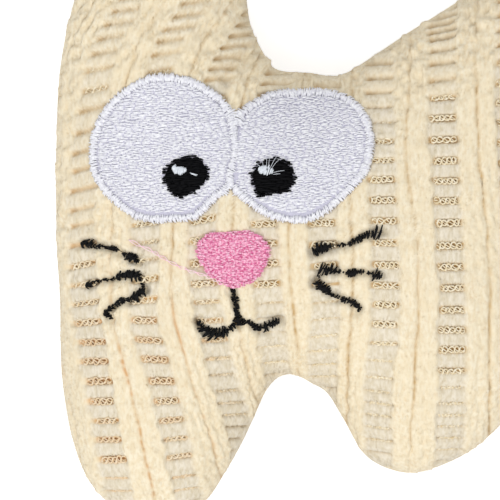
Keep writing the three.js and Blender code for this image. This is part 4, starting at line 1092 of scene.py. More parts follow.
def thread_material(name, low, high, roughness, sheen, specular=0.35):
    """Sewing or embroidery thread, polyester: soft lustre along each strand, a little uneven in tone
    every 5/11 mm."""
    material, tree, shader = new_material(name)
    where = add_node(tree, "ShaderNodeTexCoord").outputs["Object"]
    mottle = add_node(tree, "ShaderNodeTexNoise", {"Vector": where, "Scale": 11 / (5 * MM), "Detail": 1.0})
    light = add_node(tree, "ShaderNodeMapRange", {
        "Value": mottle.outputs["Fac"], 1: 0.35, 2: 0.65, 3: 0.0, 4: 1.0}).outputs[0]
    colour = add_node(tree, "ShaderNodeMix", {0: light, 6: tuple(low), 7: tuple(high)}, data_type="RGBA")
    set_inputs(tree, shader, {
        "Base Color": colour.outputs[2], "Roughness": roughness, "Specular IOR Level": specular,
        "Sheen Weight": sheen})
    return material


def core_material(name, settings):
    """The knit's core thread, plain matt polyester yarn without pile, tinted with painted warm light where
    the point value warm says so."""
    material = thread_material(name, settings.core_shade, settings.core_colour, 0.8, 0.2)
    tree = material.node_tree
    base = tree.nodes["Principled BSDF"].inputs["Base Color"]
    warm = add_node(tree, "ShaderNodeAttribute", attribute_name="warm").outputs["Fac"]
    warm = add_node(tree, "ShaderNodeMath", {0: warm, 1: 0.4}, operation="MULTIPLY").outputs[0]
    tinted = add_node(tree, "ShaderNodeMix", {
        0: warm, 6: base.links[0].from_socket, 7: tuple(settings.warm_light_colour)}, data_type="RGBA")
    tree.links.new(tinted.outputs[2], base)
    return material


def fibre_material(name, colour, size, depth):
    """Loose or pressed polyester fibre: matt white, soft at grazing light, faintly stringy at a size
    and with a depth in millimetres."""
    material, tree, shader = new_material(name)
    where = add_node(tree, "ShaderNodeTexCoord").outputs["Object"]
    strands = add_node(tree, "ShaderNodeTexNoise", {
        "Vector": where, "Scale": 1 / (size * MM), "Detail": 4.0, "Distortion": 2.0}).outputs["Fac"]
    mixed = add_node(
        tree, "ShaderNodeMix", {0: strands, 6: darker(colour, 0.88), 7: tuple(colour)}, data_type="RGBA")
    bump = add_node(tree, "ShaderNodeBump", {"Strength": 0.6, "Distance": depth * MM, "Height": strands})
    set_inputs(tree, shader, {
        "Base Color": mixed.outputs[2], "Roughness": 1.0, "Specular IOR Level": 0.1, "Sheen Weight": 0.4,
        "Normal": bump.outputs["Normal"]})
    return material


def plastic_material(name, colour, roughness, through):
    """Thin soft plastic: smooth, a little waxy, uneven every 2.5 mm, and letting some light through."""
    material, tree, shader = new_material(name)
    where = add_node(tree, "ShaderNodeTexCoord").outputs["Object"]
    haze = add_node(tree, "ShaderNodeTexNoise", {"Vector": where, "Scale": 1 / (2.5 * MM), "Detail": 2.0})
    bump = add_node(tree, "ShaderNodeBump", {
        "Strength": 0.15, "Distance": 0.1 * MM, "Height": haze.outputs["Fac"]})
    set_inputs(tree, shader, {
        "Base Color": tuple(colour), "Roughness": roughness, "Transmission Weight": through, "IOR": 1.5,
        "Normal": bump.outputs["Normal"]})
    return material


# Settings

def length_setting(name, description, millimetres):
    """A length to set in the sidebar."""
    return bpy.props.FloatProperty(
        name=name, description=description, default=millimetres * MM, unit="LENGTH")


def colour_setting(name, description, code):
    """A colour to set in the sidebar."""
    return bpy.props.FloatVectorProperty(
        name=name, description=description, default=linear(code), subtype="COLOR", size=4, min=0, max=1)


class CoverSettings(bpy.types.PropertyGroup):
    """Colours of the knit and sizes of its pile"""
    pile_length: length_setting("Pile length", "How long the pile's fibres are", 0.5)
    pile_width: length_setting("Pile width", "How thick the pile's fibres are at the root", 0.08)
    rib_colour: colour_setting("Rib colour", "The light tone of the ribs", "#F6EDD7")
    rib_shade: colour_setting("Rib shade", "The darker tone of the ribs", "#E7D6B5")
    spot_colour: colour_setting("Spot colour", "Warm spots among the pile", "#E4C9A2")
    patch_colour: colour_setting("Patch colour", "Broad patches among the pile", "#EEDFC0")
    bar_colour: colour_setting("Bar colour", "The light tone of the ladder bars", "#E9DFCC")
    bar_shade: colour_setting("Bar shade", "The darker tone of the ladder bars", "#D9CCB2")
    # painted shade down in the creases between the ribs
    crease_shade_colour: colour_setting("Crease colour", "Down in the creases between the ribs", "#C8A56E")
    # painted shade down in the gaps between the bars
    gap_shade_colour: colour_setting("Gap colour", "Down in the gaps between the bars", "#C7A26C")
    # painted warm light on the creases, the gaps and the core thread
    warm_light_colour: colour_setting("Warm gap colour", "The same where the core thread is redder", "#DDA973")
    core_colour: colour_setting("Core colour", "The light tone of the threads in the gaps", "#F6ECD5")
    core_shade: colour_setting("Core shade", "The darker tone of the threads in the gaps", "#E3D0A9")


class FaceSettings(bpy.types.PropertyGroup):
    """Colours and thread of the embroidery"""
    eye_spacing: length_setting("Eye spacing", "From one row of the eyes' stitches to the next", 0.29)
    eye_thread: length_setting("Eye thread", "Radius of the eyes' thread", 0.165)
    line_thread: length_setting("Line thread", "Radius of the thread of the mouth and whiskers", 0.17)
    white_colour: colour_setting("White", "The light tone of the eyes' thread", "#F8F8FB")
    white_shade: colour_setting("White shade", "The darker tone of the eyes' thread", "#E2E1EA")
    # lavender as painted shade between the eyes' white stitches
    underlay_shade_colour: colour_setting("Underlay", "The thread under the eyes' stitches", "#CBC9D9")
    pink_colour: colour_setting("Pink", "The light tone of the nose's thread", "#FFCCE1")
    pink_shade: colour_setting("Pink shade", "The darker tone of the nose's thread", "#DC6B9D")
    black_colour: colour_setting("Black", "The light tone of the black thread", "#0A0A0D")
    black_shade: colour_setting("Black shade", "The darker tone of the black thread", "#050506")
    glint_colour: colour_setting("Glint", "The thread of the glints", "#E8EDF4")


class InsideSettings(bpy.types.PropertyGroup):
    """Colours of the seam and of what the cover holds"""
    sewing_colour: colour_setting("Sewing thread", "The thread of the seam", "#E0CFAD")
    stitch_length: length_setting("Stitch length", "From one stitch of the seam to the next", 2.6)
    fibre_colour: colour_setting("Fibre", "The filling's fibre", "#FBFAF6")
    backing_colour: colour_setting("Backing", "The sheet behind the face", "#F7F7F4")
    plastic_colour: colour_setting("Plastic", "The squeaker's bulb and plug", "#ECECE6")
    film_colour: colour_setting("Film", "The squeaker's reed", "#DFE6EA")


class StageSettings(bpy.types.PropertyGroup):
    """View and light"""
    camera_distance: bpy.props.FloatProperty(
        name="Camera distance", description="From the seam's plane up to the camera", default=3.0,
        unit="LENGTH")
    view_width: bpy.props.FloatProperty(
        name="View width", description="How much the picture takes in at the seam's plane", default=0.1,
        unit="LENGTH")
    key_power: bpy.props.FloatProperty(
        name="Key lamp", description="Power of the large soft lamp before the feet", default=8.2,
        unit="POWER")
    world_strength: bpy.props.FloatProperty(
        name="Surrounding light", description="Strength of the even light from all round", default=0.78)


# Pile and core thread

def pile_mesh(skin, side, count, length, width, seed):
    """Fibres of the pile: slim closed spikes with three sides, their roots spread evenly by area over
    the skin's grid, leaning every way about its normals, and upright or hanging on the bars. Gives
    points, faces and point values."""
    points, at = skin
    rng = np.random.default_rng(seed)
    a, b = points[:-1], points[1:]
    ahead, inward = np.roll(a, -1, 1) - a, b - a
    normal = np.cross(ahead, inward) * side
    area = np.linalg.norm(normal, axis=2)
    bald = np.clip(at["deep"][:-1] + 1.2 * at["stitched"][:-1], 0, 1)
    weight = area * (1 - bald) * (np.abs(a[..., 2] - SEAM_HEIGHT) > 0.4)
    total = np.cumsum(weight.ravel())
    picked = np.searchsorted(total, rng.uniform(0, total[-1], count))
    i, j = np.unravel_index(picked, weight.shape)
    u, v = rng.uniform(0, 1, (2, count, 1))
    root = a[i, j] + ahead[i, j] * u + inward[i, j] * v
    normal = normal[i, j] / np.maximum(area[i, j], 1e-9)[:, None]
    normal *= np.where(normal[:, 2:] * side < 0, -1, 1)
    on_bar = at["bar"][i, j][:, None]
    lean = rng.normal(0, 1, (count, 3))
    lean -= normal * (lean * normal).sum(1)[:, None]
    upright = np.array([0.0, 1.0, 0.0]) * rng.choice([-1.0, 1.0], (count, 1))
    lean = unit(lean * (1 - 0.7 * on_bar) + upright * on_bar)
    rise = rng.uniform(0.1, 0.8, (count, 1)) * (1 - 0.5 * on_bar)
    way = unit(normal * rise + lean * 0.75)
    across = unit(np.cross(way, rng.normal(0, 1, (count, 3))))
    over = np.cross(way, across)
    size = length * rng.uniform(0.6, 1.25, (count, 1))
    root = root - normal * PILE_SUNK
    corners = [
        root + width / 2 * (math.cos(t) * across + math.sin(t) * over)
        for t in (0, 2 * math.pi / 3, 4 * math.pi / 3)]
    tip = root + way * size
    if side < 0:
        tip[:, 2] = np.maximum(tip[:, 2], 0.0)
    mesh = np.stack([*corners, tip], 1).reshape(-1, 3)
    base = (np.arange(count) * 4)[:, None]
    faces = np.concatenate([base + f for f in ([0, 1, 3], [1, 2, 3], [2, 0, 3], [2, 1, 0])])
    # the pile carries the painted crease shade too, a little fainter
    values = {"bar": at["bar"][i, j], "crease": at["crease"][i, j] * 0.7, "tone": rng.uniform(-1, 1, count)}
    return mesh, [faces], {key: np.repeat(value, 4) for key, value in values.items()}


def wave(rng, t, low, high, n):
    """n waves along t that start anywhere, each with its own angle per length from low to high."""
    return np.sin(t * rng.uniform(low, high, (n, 1)) + rng.uniform(0, 6.3, (n, 1)))


def gap_threads(lines, pitch, side, seed):
    """The loops of thread in each gap between two ladder bars: two threads that cross and part,
    y = +-height * sin(over 2 turns along the gap), so that they leave a row of rings, and a thinner
    one across the rings, all sunk to the bars' level and uneven from gap to gap."""
    rng = np.random.default_rng(seed)
    n, m, _ = lines.shape
    flat = lines.reshape(-1, 2)
    inside = inside_loop(flat[:, 0], flat[:, 1], FINE_OUTLINE).reshape(n, m).all(1)
    spread = smooth_step(pitch, *THREAD_PITCHES)
    middle = lines[:, m // 2]
    foot = (middle[:, 1] < -30) & (side > 0)
    kept = inside & ((spread > 0.08) | foot)
    if side > 0:
        for spec in (*EYES.values(), NOSE_ROUGH):
            kept &= ellipse_distance(*middle.T, spec) > -1.5
        kept &= (middle[:, 0] > -44) | (middle[:, 1] < -15) | (middle[:, 1] > 18)
    lines, spread = lines[kept], spread[kept][:, None]
    sink = np.where(foot, 0.1, 0.4)[kept][:, None] * (1 - spread)
    n = len(lines)
    t = np.linspace(-1, 1, m)
    phase = np.pi * t * rng.uniform(2.0, 2.6, (n, 1)) + rng.uniform(0, 6.3, (n, 1))
    phase = phase + 0.5 * wave(rng, t, 2, 6, n)
    parts = []
    for way, height, radius in CORE_THREADS:
        even = rng.uniform(0.8, 1.2, (n, 1)) * (1 + 0.2 * wave(rng, t, 4, 9, n))
        swing = way * np.sin(phase) if way else np.sin(2.1 * phase)
        plan = lines.copy()
        plan[..., 1] += swing * height * (0.25 + 0.75 * spread) * even
        plan[..., 0] -= 0.12 * np.sin(2 * phase)
        rise = -0.66 + 0.13 * way * np.cos(phase) - 0.35 * np.abs(t) ** 10 - sink
        points = over_cover(plan, rise + rng.normal(0, 0.04, (n, 1)), side)
        points = points[np.abs(points[..., 2] - SEAM_HEIGHT).min(1) > 2.4]
        if side < 0:
            points[..., 2] = np.maximum(points[..., 2], 0.2)
        radii = radius * rng.uniform(0.85, 1.1, (len(points), 1))
        radii = radii * (1 + 0.18 * np.sin(t * 23 + rng.uniform(0, 6.3, (len(points), 1))))
        parts.append(tube_mesh(points, radii * (1 - 0.5 * np.abs(t) ** 10), 4))
    points, faces = join_meshes(*parts)
    # the threads take on the knit's painted warm light at the left
    return points, faces, {"warm": painted_warm_light(points[:, 0], points[:, 1]) * (side > 0)}


# Steps

class KNITCAT_OT_cover(bpy.types.Operator):
    """Make the two halves of the knitted cover, the threads in its gaps and its pile"""
    bl_idname = "knitcat.cover"
    bl_label = "Knitted cover"

    def execute(self, context):
        settings = context.scene.knitcat_cover
        material = chenille_material("Chenille knit, brushed polyester", settings)
        pile = pile_material("Chenille pile, brushed polyester fibres", settings)
        core = core_material("Core thread of the knit, cream polyester", settings)
        for side, name in ((1, "front"), (-1, "back")):
            points, faces, values, skin = cover_panel(side)
            piece = make_piece(name + "_cover", points, faces, material, [name + "_panel"], "knit", values)
            gaps = front_gaps() if side > 0 else back_gaps()
            points, faces, values = gap_threads(*gaps, side, 300 + side)
            make_piece(name + "_gap_threads", points, faces, core, [], "knit", values)
            batches, count = PILE_BATCHES[side]
            for batch in range(batches):
                points, faces, values = pile_mesh(
                    skin, side, count, settings.pile_length / MM, settings.pile_width / MM,
                    400 + 10 * side + batch)
                make_piece(f"{name}_pile_{batch + 1}", points, faces, pile, [], "knit", values)
        return {"FINISHED"}


class KNITCAT_OT_eyes(bpy.types.Operator):
    """Stitch the white fills and the raised rims of the eyes"""
    bl_idname = "knitcat.eyes"
    bl_label = "White of the eyes"

    def execute(self, context):
        settings = context.scene.knitcat_face
        white = thread_material(
            "White embroidery thread, trilobal polyester", settings.white_shade, settings.white_colour,
                0.45, 0.3)
        # the underlay is real, and its lavender is painted shade between the white stitches above it
        under = thread_material(
            "Lavender underlay thread, matt polyester", darker(settings.underlay_shade_colour, 0.9),
            settings.underlay_shade_colour, 0.8, 0.0)
        spacing, thread = settings.eye_spacing / MM, settings.eye_thread / MM
        for seed, side, turn in ((31, "left", 2.0), (41, "right", 5.0)):
            spec, other = EYES[side], EYES["right" if side == "left" else "left"]
            pupil = closed_curve(np.array(PUPIL_KNOTS[side]), 8)
            loop = ellipse_loop(spec, -1.8)
            down = smooth_step((spec["at"][1] - loop[:, 1]) / spec["half"][1], 0.5, 0.82)
            loop[:, 1] += 0.4 * down
            fill = fill_rows(loop, [turn_in(pupil, 0.5)], turn, spacing, 1.7, seed, 0.3)
            rim = rim_stitches(spec, other, seed + 1)
            if side == "right":
                fill, rim = clear_of(fill, other, -0.3), clear_of(rim, other, 0.2)
            fill = stitches(*fill, FILL_PROFILE, thread, (seed, seed))
            rim = [stitches(*rim, RIM_PROFILE, thread * 0.82, (seed + 2, seed + 3), lift=0.03)]
            if side == "right":
                bridge = bridge_stitches(seed + 4)
                rim.append(stitches(*bridge, BRIDGE_PROFILE, thread, (seed + 5, seed + 6)))
            make_piece("eye_fill_" + side, *fill, white, ["eye_white_" + side], "white_thread")
            base = pad_mesh(ellipse_loop(spec, -0.35), PAD_TOP, PAD_LOW)
            make_piece("eye_underlay_" + side, *base, under, [], "white_thread")
            make_piece("eye_rim_" + side, *join_meshes(*rim), white, ["eye_border_" + side], "white_thread")
        return {"FINISHED"}


def clear_of(pair, spec, least):
    """Of stitches as starts and ends, those whose middles lie further than least outside a shape."""
    starts, ends = pair
    kept = ellipse_distance(*((starts + ends) / 2).T, spec) > least
    return starts[kept], ends[kept]


def turn_in(loop, by):
    """A loop drawn in toward its middle by a length."""
    middle = loop.mean(0)
    away = loop - middle
    far = np.linalg.norm(away, axis=1)[:, None]
    return middle + away * (far - by) / far


def rim_stitches(spec, other, seed):
    """Stitches that stand across the rim of an eye all round, their ends uneven. Where the other eye
    is near they reach half-way to it."""
    rng = np.random.default_rng(seed)
    count = int(math.pi * sum(spec["half"]) / RIM_STEP)
    inner = ellipse_loop(spec, -1.7, count)
    outer = ellipse_loop(spec, -0.1, count)
    out = outer - inner
    out /= np.linalg.norm(out, axis=1)[:, None]
    along = np.column_stack([-out[:, 1], out[:, 0]])
    apart = ellipse_distance(*outer.T, other)
    outer += out * (0.5 * np.clip(apart, 0, 1.4) * (apart < 1.4))[:, None]
    down = 0.25 * smooth_step(-out[:, 1], 0.65, 0.92)
    inner += out * (rng.uniform(-0.3, 0.45, count) + down)[:, None]
    inner += along * rng.normal(0, 0.1, count)[:, None]
    outer += out * rng.uniform(-0.5, 0.28, count)[:, None]
    outer += along * rng.normal(0, 0.11, count)[:, None]
    return inner, outer


def bridge_stitches(seed):
    """Level stitches that close the nick between the rims of the two eyes."""
    rng = np.random.default_rng(seed)
    y = np.arange(*BRIDGE_ROWS)
    x = np.arange(-24.0, -17.0, 0.05)
    gx, gy = np.meshgrid(x, y)
    between = [
        (ellipse_distance(gx.ravel(), gy.ravel(), spec) > -0.7).reshape(gx.shape) for spec in EYES.values()]
    both = between[0] & between[1]
    kept = both.any(1)
    low, high = x[both.argmax(1)][kept], x[len(x) - 1 - both[:, ::-1].argmax(1)][kept]
    low, high = low + rng.uniform(-0.4, 0.3, len(low)), high + rng.uniform(-0.3, 0.4, len(low))
    tilt = rng.normal(0, 0.15, (2, len(low)))
    return np.column_stack([low, y[kept] + tilt[0]]), np.column_stack([high, y[kept] + tilt[1]])


class KNITCAT_OT_pupils(bpy.types.Operator):
    """Stitch the pupils and their glints"""
    bl_idname = "knitcat.pupils"
    bl_label = "Pupils"

    def execute(self, context):
        settings = context.scene.knitcat_face
        black = thread_material(
            "Black embroidery thread, trilobal polyester", settings.black_shade, settings.black_colour,
            0.5, 0.0, 0.07)
        white = thread_material(
            "White glint thread, trilobal polyester", darker(settings.glint_colour, 0.85),
            settings.glint_colour, 0.4, 0.1)
        for seed, side, turn, wisp in ((51, "left", 4.0, 0.11), (61, "right", -3.0, 0.06)):
            pupil = closed_curve(np.array(PUPIL_KNOTS[side]), 8)
            glint = closed_curve(np.array(GLINT_KNOTS[side]), 6)
            fill = stitches(
                *fill_rows(turn_in(pupil, 0.2), [], turn, 0.36, 4.0, seed, 0.5), PUPIL_PROFILE,
                PUPIL_THREAD, (seed, seed))
            base = pad_mesh(turn_in(pupil, 0.8), 0.72, -0.5)
            make_piece(
                "pupil_fill_" + side, *join_meshes(base, fill), black, ["pupil_" + side], "black_thread")
            spark = stitches(
                *fill_rows(glint, [], 70.0, 0.26, 3.0, seed + 1, 0.25), GLINT_PROFILE, GLINT_THREAD,
                (seed + 2, seed + 2))
            lines = np.array(GLINT_WISPS[side])
            wisps = stitches(lines[:, 0], lines[:, 1], WISP_PROFILE, wisp, (seed + 3, seed + 3), sides=4)
            make_piece(
                "glint_stitches_" + side, *join_meshes(spark, wisps), white, ["glint_" + side],
                    "white_thread")
        return {"FINISHED"}


class KNITCAT_OT_mouth(bpy.types.Operator):
    """Stitch the nose and the mouth"""
    bl_idname = "knitcat.mouth"
    bl_label = "Nose and mouth"

    def execute(self, context):
        settings = context.scene.knitcat_face
        pink = thread_material(
            "Pink embroidery thread, trilobal polyester", settings.pink_shade, settings.pink_colour,
                0.45, 0.15)
        pale = thread_material(
            "Loose end of pink thread, pale where it is thin", settings.pink_colour, linear("#F6E3E6"),
                0.5, 0.2)
        black = thread_material(
            "Black mouth thread, trilobal polyester", settings.black_shade, settings.black_colour,
            0.6, 0.0, 0.15)
        nose = closed_curve(np.array(NOSE_KNOTS), 8)
        fill = stitches(*fill_rows(nose, [], 3.0, 0.33, 1.3, 71, 0.3), FILL_PROFILE, NOSE_THREAD, (72, 73))
        base = pad_mesh(turn_in(nose, 0.25), PAD_TOP, PAD_LOW)
        make_piece("nose_fill", *join_meshes(base, fill), pink, ["nose"], "pink_thread")
        make_piece("nose_thread_end", *loose_thread(), pale, [], "pink_thread")
        mouth = satin_tubes([name for name in SATIN_LINES if name.startswith("mouth")], 81, settings)
        make_piece("mouth_stitches", *mouth, black, ["mouth"], "black_thread")
        return {"FINISHED"}


def loose_thread(count=60):
    """The loose end of thread beside the nose: two strands that wind round one another and lie on
    the knit."""
    knots = np.array(STRAY_THREAD)
    run = np.linspace(0, len(knots) - 1, count)
    line = np.column_stack([np.interp(run, np.arange(len(knots)), v) for v in knots.T])
    line[:, 1] += 0.08 * np.sin(run * 9)
    aside = np.array([0.17, 0.2]) * np.sin(run * 5)[:, None]
    strands = [over_face(line + way * aside, 0.4 + 0.12 * np.sin(run * 3.1)) for way in (1, -1)]
    return tube_mesh(np.stack(strands), np.full((2, count), STRAY_RADIUS), 6)


class KNITCAT_OT_whiskers(bpy.types.Operator):
    """Stitch the whiskers"""
    bl_idname = "knitcat.whiskers"
    bl_label = "Whiskers"

    def execute(self, context):
        settings = context.scene.knitcat_face
        black = thread_material(
            "Black whisker thread, trilobal polyester", settings.black_shade, settings.black_colour,
            0.6, 0.0, 0.15)
        for side in ("left", "right"):
            names = [name for name in SATIN_LINES if name.startswith("whisker_" + side)]
            for height, lines, seed in (("upper", names[:1], 91), ("lower", names[1:], 93)):
                mesh = satin_tubes(lines, seed, settings)
                make_piece(
                    f"whisker_stitches_{side}_{height}", *mesh, black, [f"whisker_{side}_{height}"],
                    "black_thread")
        return {"FINISHED"}


RIM_LOOP = np.vstack([FINE_OUTLINE, FINE_OUTLINE[:1]])
RIM_RUN = np.concatenate([[0], np.cumsum(np.hypot(*np.diff(RIM_LOOP, axis=0).T))])


def rim_places(run, inset):
    """Plan places at lengths along the outline from its start, moved in from the rim by inset."""
    at = np.mod(run, RIM_RUN[-1])
    ahead = np.roll(FINE_OUTLINE, -1, 0) - np.roll(FINE_OUTLINE, 1, 0)
    ahead = np.vstack([ahead, ahead[:1]])
    x, y, ax, ay = (np.interp(at, RIM_RUN, v) for v in (*RIM_LOOP.T, *ahead.T))
    size = np.hypot(ax, ay)
    return np.stack([x + ay / size * inset, y - ax / size * inset], -1)


def rim_length(share):
    """The length along the outline up to a share of its samples."""
    return float(np.interp(share * len(FINE_OUTLINE), np.arange(len(RIM_RUN)), RIM_RUN))


class KNITCAT_OT_seam(bpy.types.Operator):
    """Sew the seam round the rim and close the turning gap by hand"""
    bl_idname = "knitcat.seam"
    bl_label = "Seam and closing stitches"

    def execute(self, context):
        settings = context.scene.knitcat_inside
        thread = thread_material(
            "Sewing thread, cream spun polyester", darker(settings.sewing_colour, 0.85),
            settings.sewing_colour, 0.7, 0.2)
        pitch = settings.stitch_length / MM
        start, end = (rim_length(share) for share in CLOSING)
        sewn = rim_length(1.0) - (end - start)
        count = int(sewn / pitch)
        first = end + 0.4 + (sewn - 0.8) * np.arange(count) / count
        t = np.linspace(0, 1, 7)
        ends = np.abs(2 * t - 1) ** 3
        plan = rim_places(first[:, None] + 0.96 * pitch * t, 0.5 + 0.3 * ends)
        points = np.concatenate([plan, np.full(plan.shape[:2] + (1,), SEAM_HEIGHT)], 2)
        seam = tube_mesh(points, SEAM_THREAD * (1 - 0.3 * ends)[None] * np.ones((count, 1)), 8)
        make_piece("seam_stitches", *seam, thread, ["seam_thread"], "cream_thread")
        run = np.linspace(start + 0.3, end - 0.3, 700)
        phase = (run - start) / CLOSING_STITCH * 2 * np.pi
        rise = 0.55 * np.clip(1.6 * np.sin(phase), -1, 1)
        plan = rim_places(run, 0.45 + 0.12 * np.cos(2 * phase))
        points = np.column_stack([plan, SEAM_HEIGHT + rise])[None]
        closing = tube_mesh(points, np.full((1, len(run)), CLOSING_THREAD), 8)
        make_piece("closing_stitches", *closing, thread, ["closing_thread"], "cream_thread")
        return {"FINISHED"}


class KNITCAT_OT_inside(bpy.types.Operator):
    """Make the backing sheet, the wads of filling and the squeaker"""
    bl_idname = "knitcat.inside"
    bl_label = "Backing, filling and squeaker"

    def execute(self, context):
        settings = context.scene.knitcat_inside
        sheet = fibre_material("Nonwoven backing, white polyester", settings.backing_colour, 1 / 3, 0.06)
        loop = closed_curve(np.array([place(k) for k in BACKING_SHARES]), 8)
        points, faces = pad_mesh(loop, BACKING_TOP, BACKING_TOP - BACKING_THICKNESS, 24)
        piece = make_piece("backing_sheet", points, faces, sheet, ["embroidery_backing"], "backing")
        wool = fibre_material("Fibrefill, carded white polyester", settings.fibre_colour, 10 / 9, 0.4)
        parts = ("body_front", "body_back", "ear_left", "ear_right", "foot_left", "foot_right")
        for k, part in enumerate(parts):
            points, faces = wad_mesh(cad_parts["filling_" + part], 500 + k)
            piece = make_piece("filling_wad_" + part, points, faces, wool, ["filling_" + part], "fibre")
        plastic = plastic_material(
            "Blow-moulded polyethylene, milky white", settings.plastic_colour, 0.38, 0.25)
        make_piece("squeaker_shell", *bulb_mesh(), plastic, ["squeaker_bulb"], "squeaker_plastic")
        film = plastic_material("Reed film, clear polyester", settings.film_colour, 0.12, 0.85)
        for node, material in (("squeaker_plug", plastic), ("squeaker_reed", film)):
            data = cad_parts[node].data
            data.materials.clear()
            data.materials.append(material)
        return {"FINISHED"}


def wad_mesh(node, seed):
    """A wad of fibre in the place of a solid: the solid drawn in evenly cut faces, each point moved
    in along its normal by a share of a millimetre that changes from place to place."""
    data = node.data.copy()
    shape = bmesh.new()
    shape.from_mesh(data)
    bmesh.ops.remove_doubles(shape, verts=shape.verts, dist=1e-6)
    shape.to_mesh(data)
    shape.free()
    raw = bpy.data.objects.new("wad", data)
    bpy.context.scene.collection.objects.link(raw)
    cut = raw.modifiers.new("cut", "REMESH")
    cut.mode = "VOXEL"
    cut.voxel_size = WAD_FACE * MM
    soften = raw.modifiers.new("soften", "SMOOTH")
    soften.factor = 0.5
    soften.iterations = 4
    done = bpy.data.meshes.new_from_object(raw.evaluated_get(bpy.context.evaluated_depsgraph_get()))
    bpy.data.objects.remove(raw)
    points, normals = np.zeros((2, len(done.vertices) * 3), np.float32)
    done.vertices.foreach_get("co", points)
    done.vertices.foreach_get("normal", normals)
    points, normals = points.reshape(-1, 3).astype(float) / MM, normals.reshape(-1, 3)
    x, y, z = points.T
    dent = 0.3 + 0.18 * noise(x / 3 + z / 5, y / 3 - z / 6, seed)
    dent = dent + 0.12 * noise(x / 1.3 - z / 2, y / 1.3 + z / 2, seed + 1)
    points -= normals * dent[:, None]
    sizes, corners = np.zeros(len(done.polygons), np.int32), np.zeros(len(done.loops), np.int32)
    done.polygons.foreach_get("loop_total", sizes)
    done.loops.foreach_get("vertex_index", corners)
    starts = np.cumsum(sizes) - sizes
    faces = [corners[starts[sizes == k][:, None] + np.arange(k)] for k in (3, 4)]
    bpy.data.meshes.remove(done)
    return points, [f for f in faces if len(f)]


def bulb_mesh(around=96, arc=20):
    """The blown bulb as a lathe turned about an upright line: flat faces, round edges with a fine
    moulding line at the middle, and a neck that opens downwards, drawn outside and in."""
    low, high = node_box("squeaker_bulb")
    centre = (low[:2] + high[:2]) / 2
    radius, bottom = (high[0] - low[0]) / 2, low[2] - SEAM_HEIGHT
    corner, wall, neck, flash, axis = BULB_CORNER, BULB_WALL, BULB_NECK, 0.18, 0.02
    angle = np.linspace(-np.pi / 2, np.pi / 2, arc)
    out = radius - corner + np.cos(angle) * corner + flash * bell(angle / 0.05) - flash
    outer = np.column_stack([out, np.sin(angle) * corner])
    inner = np.column_stack([
        radius - corner + np.cos(angle) * (corner - wall), np.sin(angle) * (corner - wall)])[::-1]
    profile = np.vstack([
        [[axis, corner - wall]], inner, [[neck - wall, wall - corner], [neck - wall, bottom]],
        [[neck, bottom], [neck, -corner - 0.3], [neck + 0.3, -corner]], outer, [[axis, corner]]])
    turn = np.arange(around) * 2 * np.pi / around
    rings = np.stack([
        centre[0] + profile[:, :1] * np.cos(turn), centre[1] + profile[:, :1] * np.sin(turn),
        np.broadcast_to(SEAM_HEIGHT + profile[:, 1:], (len(profile), around))], 2)
    spoke = np.arange(1, around - 1)
    fan = np.column_stack([0 * spoke, spoke, spoke + 1])
    ends = [fan[:, [0, 2, 1]], fan + (len(profile) - 1) * around]
    return rings.reshape(-1, 3), [ring_faces(len(profile), around), *ends]


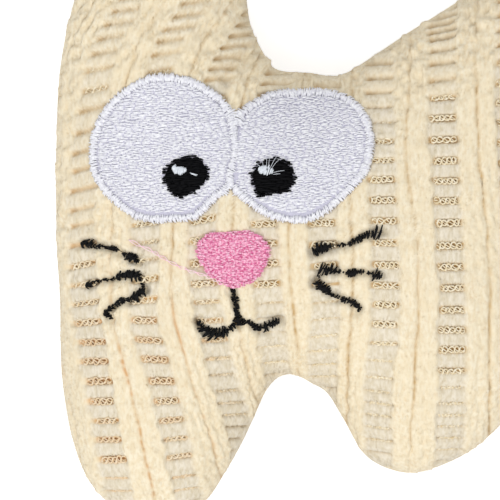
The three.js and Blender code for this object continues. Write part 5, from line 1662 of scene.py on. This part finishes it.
class KNITCAT_OT_stage(bpy.types.Operator):
    """Make the floor, the lamps, the surrounding light and the camera"""
    bl_idname = "knitcat.stage"
    bl_label = "Stage"

    def execute(self, context):
        scene = context.scene
        settings = scene.knitcat_stage
        scene.view_settings.view_transform = "Standard"
        # the floor: matt, and a little brighter to the camera, as the photo's cut-out ground is
        mesh = bpy.data.meshes.new("floor")
        corners = [
            (x * FLOOR_HALF, y * FLOOR_HALF, -FLOOR_DROP) for x, y in ((-1, -1), (1, -1), (1, 1), (-1, 1))]
        mesh.from_pydata(corners, [], [(0, 1, 2, 3)])
        floor = bpy.data.objects.new("floor", mesh)
        scene.collection.objects.link(floor)
        material, tree, shader = new_material("Pale floor, matt paint")
        set_inputs(tree, shader, {
            "Base Color": (0.82, 0.82, 0.82, 1), "Roughness": 1.0, "Specular IOR Level": 0.0})
        rays = add_node(tree, "ShaderNodeLightPath")
        seen = add_node(
            tree, "ShaderNodeMath", {0: rays.outputs["Is Camera Ray"], 1: 0.6}, operation="MULTIPLY")
        glow = add_node(tree, "ShaderNodeEmission", {"Color": (1, 1, 1, 1), "Strength": seen.outputs[0]})
        both = add_node(tree, "ShaderNodeAddShader", {0: shader.outputs[0], 1: glow.outputs[0]})
        set_inputs(tree, tree.nodes["Material Output"], {"Surface": both.outputs[0]})
        mesh.materials.append(material)
        # the surrounding light, full white to the camera
        world = bpy.data.worlds.new("Soft surround")
        scene.world = world
        world.use_nodes = True
        tree = world.node_tree
        rays = add_node(tree, "ShaderNodeLightPath")
        both = add_node(tree, "ShaderNodeMath", {
            0: rays.outputs["Is Camera Ray"], 1: rays.outputs["Is Glossy Ray"]}, operation="MAXIMUM")
        strength = add_node(
            tree, "ShaderNodeMix", {0: both.outputs[0], 2: settings.world_strength, 3: 1.0},
            data_type="FLOAT")
        set_inputs(tree, tree.nodes["Background"], {
            "Strength": strength.outputs[0], "Color": (0.97, 0.985, 1.0, 1)})
        # one large soft lamp, turned to the toy's middle
        data = bpy.data.lights.new("key_lamp", "AREA")
        data.energy = settings.key_power
        data.size = LAMP_SIZE
        data.color = (1.0, 0.985, 0.96)
        lamp = bpy.data.objects.new("key_lamp", data)
        lamp.location = LAMP_PLACE
        x, y, z = -np.array(lamp.location)
        lamp.rotation_euler = (math.atan2(math.hypot(x, y), -z), 0, math.atan2(y, x) - math.pi / 2)
        scene.collection.objects.link(lamp)
        # the camera, far above, so that it sees the toy as flat as the photo does
        data = bpy.data.cameras.new("camera")
        data.sensor_width = SENSOR_WIDTH
        data.lens = SENSOR_WIDTH * settings.camera_distance / settings.view_width
        data.clip_start, data.clip_end = 0.1, 50
        camera = bpy.data.objects.new("camera", data)
        camera.location = (
            VIEW_MIDDLE[0] * MM, VIEW_MIDDLE[1] * MM, SEAM_HEIGHT * MM + settings.camera_distance)
        scene.collection.objects.link(camera)
        scene.camera = camera
        return {"FINISHED"}


class KNITCAT_PT_panel(bpy.types.Panel):
    """Lists the steps in the sidebar"""
    bl_label = "Knit cat"
    bl_space_type = "VIEW_3D"
    bl_region_type = "UI"
    bl_category = "Knit cat"

    def draw(self, context):
        for operator in OPERATORS:
            self.layout.operator(operator.bl_idname)


OPERATORS = (
    KNITCAT_OT_cover, KNITCAT_OT_eyes, KNITCAT_OT_pupils, KNITCAT_OT_mouth, KNITCAT_OT_whiskers,
    KNITCAT_OT_seam, KNITCAT_OT_inside, KNITCAT_OT_stage)
SETTINGS = {
    "knitcat_cover": CoverSettings, "knitcat_face": FaceSettings, "knitcat_inside": InsideSettings,
    "knitcat_stage": StageSettings}
CLASSES = (*SETTINGS.values(), *OPERATORS, KNITCAT_PT_panel)


def register():
    """Registers the classes and hangs the settings on the scene."""
    for cls in CLASSES:
        bpy.utils.register_class(cls)
    for name, cls in SETTINGS.items():
        setattr(bpy.types.Scene, name, bpy.props.PointerProperty(type=cls))


def unregister():
    """Takes both away again."""
    for name in SETTINGS:
        delattr(bpy.types.Scene, name)
    for cls in reversed(CLASSES):
        bpy.utils.unregister_class(cls)


def main():
    """Makes everything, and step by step."""
    register()
    for operator in OPERATORS:
        group, name = operator.bl_idname.split(".")
        getattr(getattr(bpy.ops, group), name)()


if __name__ == "__main__":
    main()
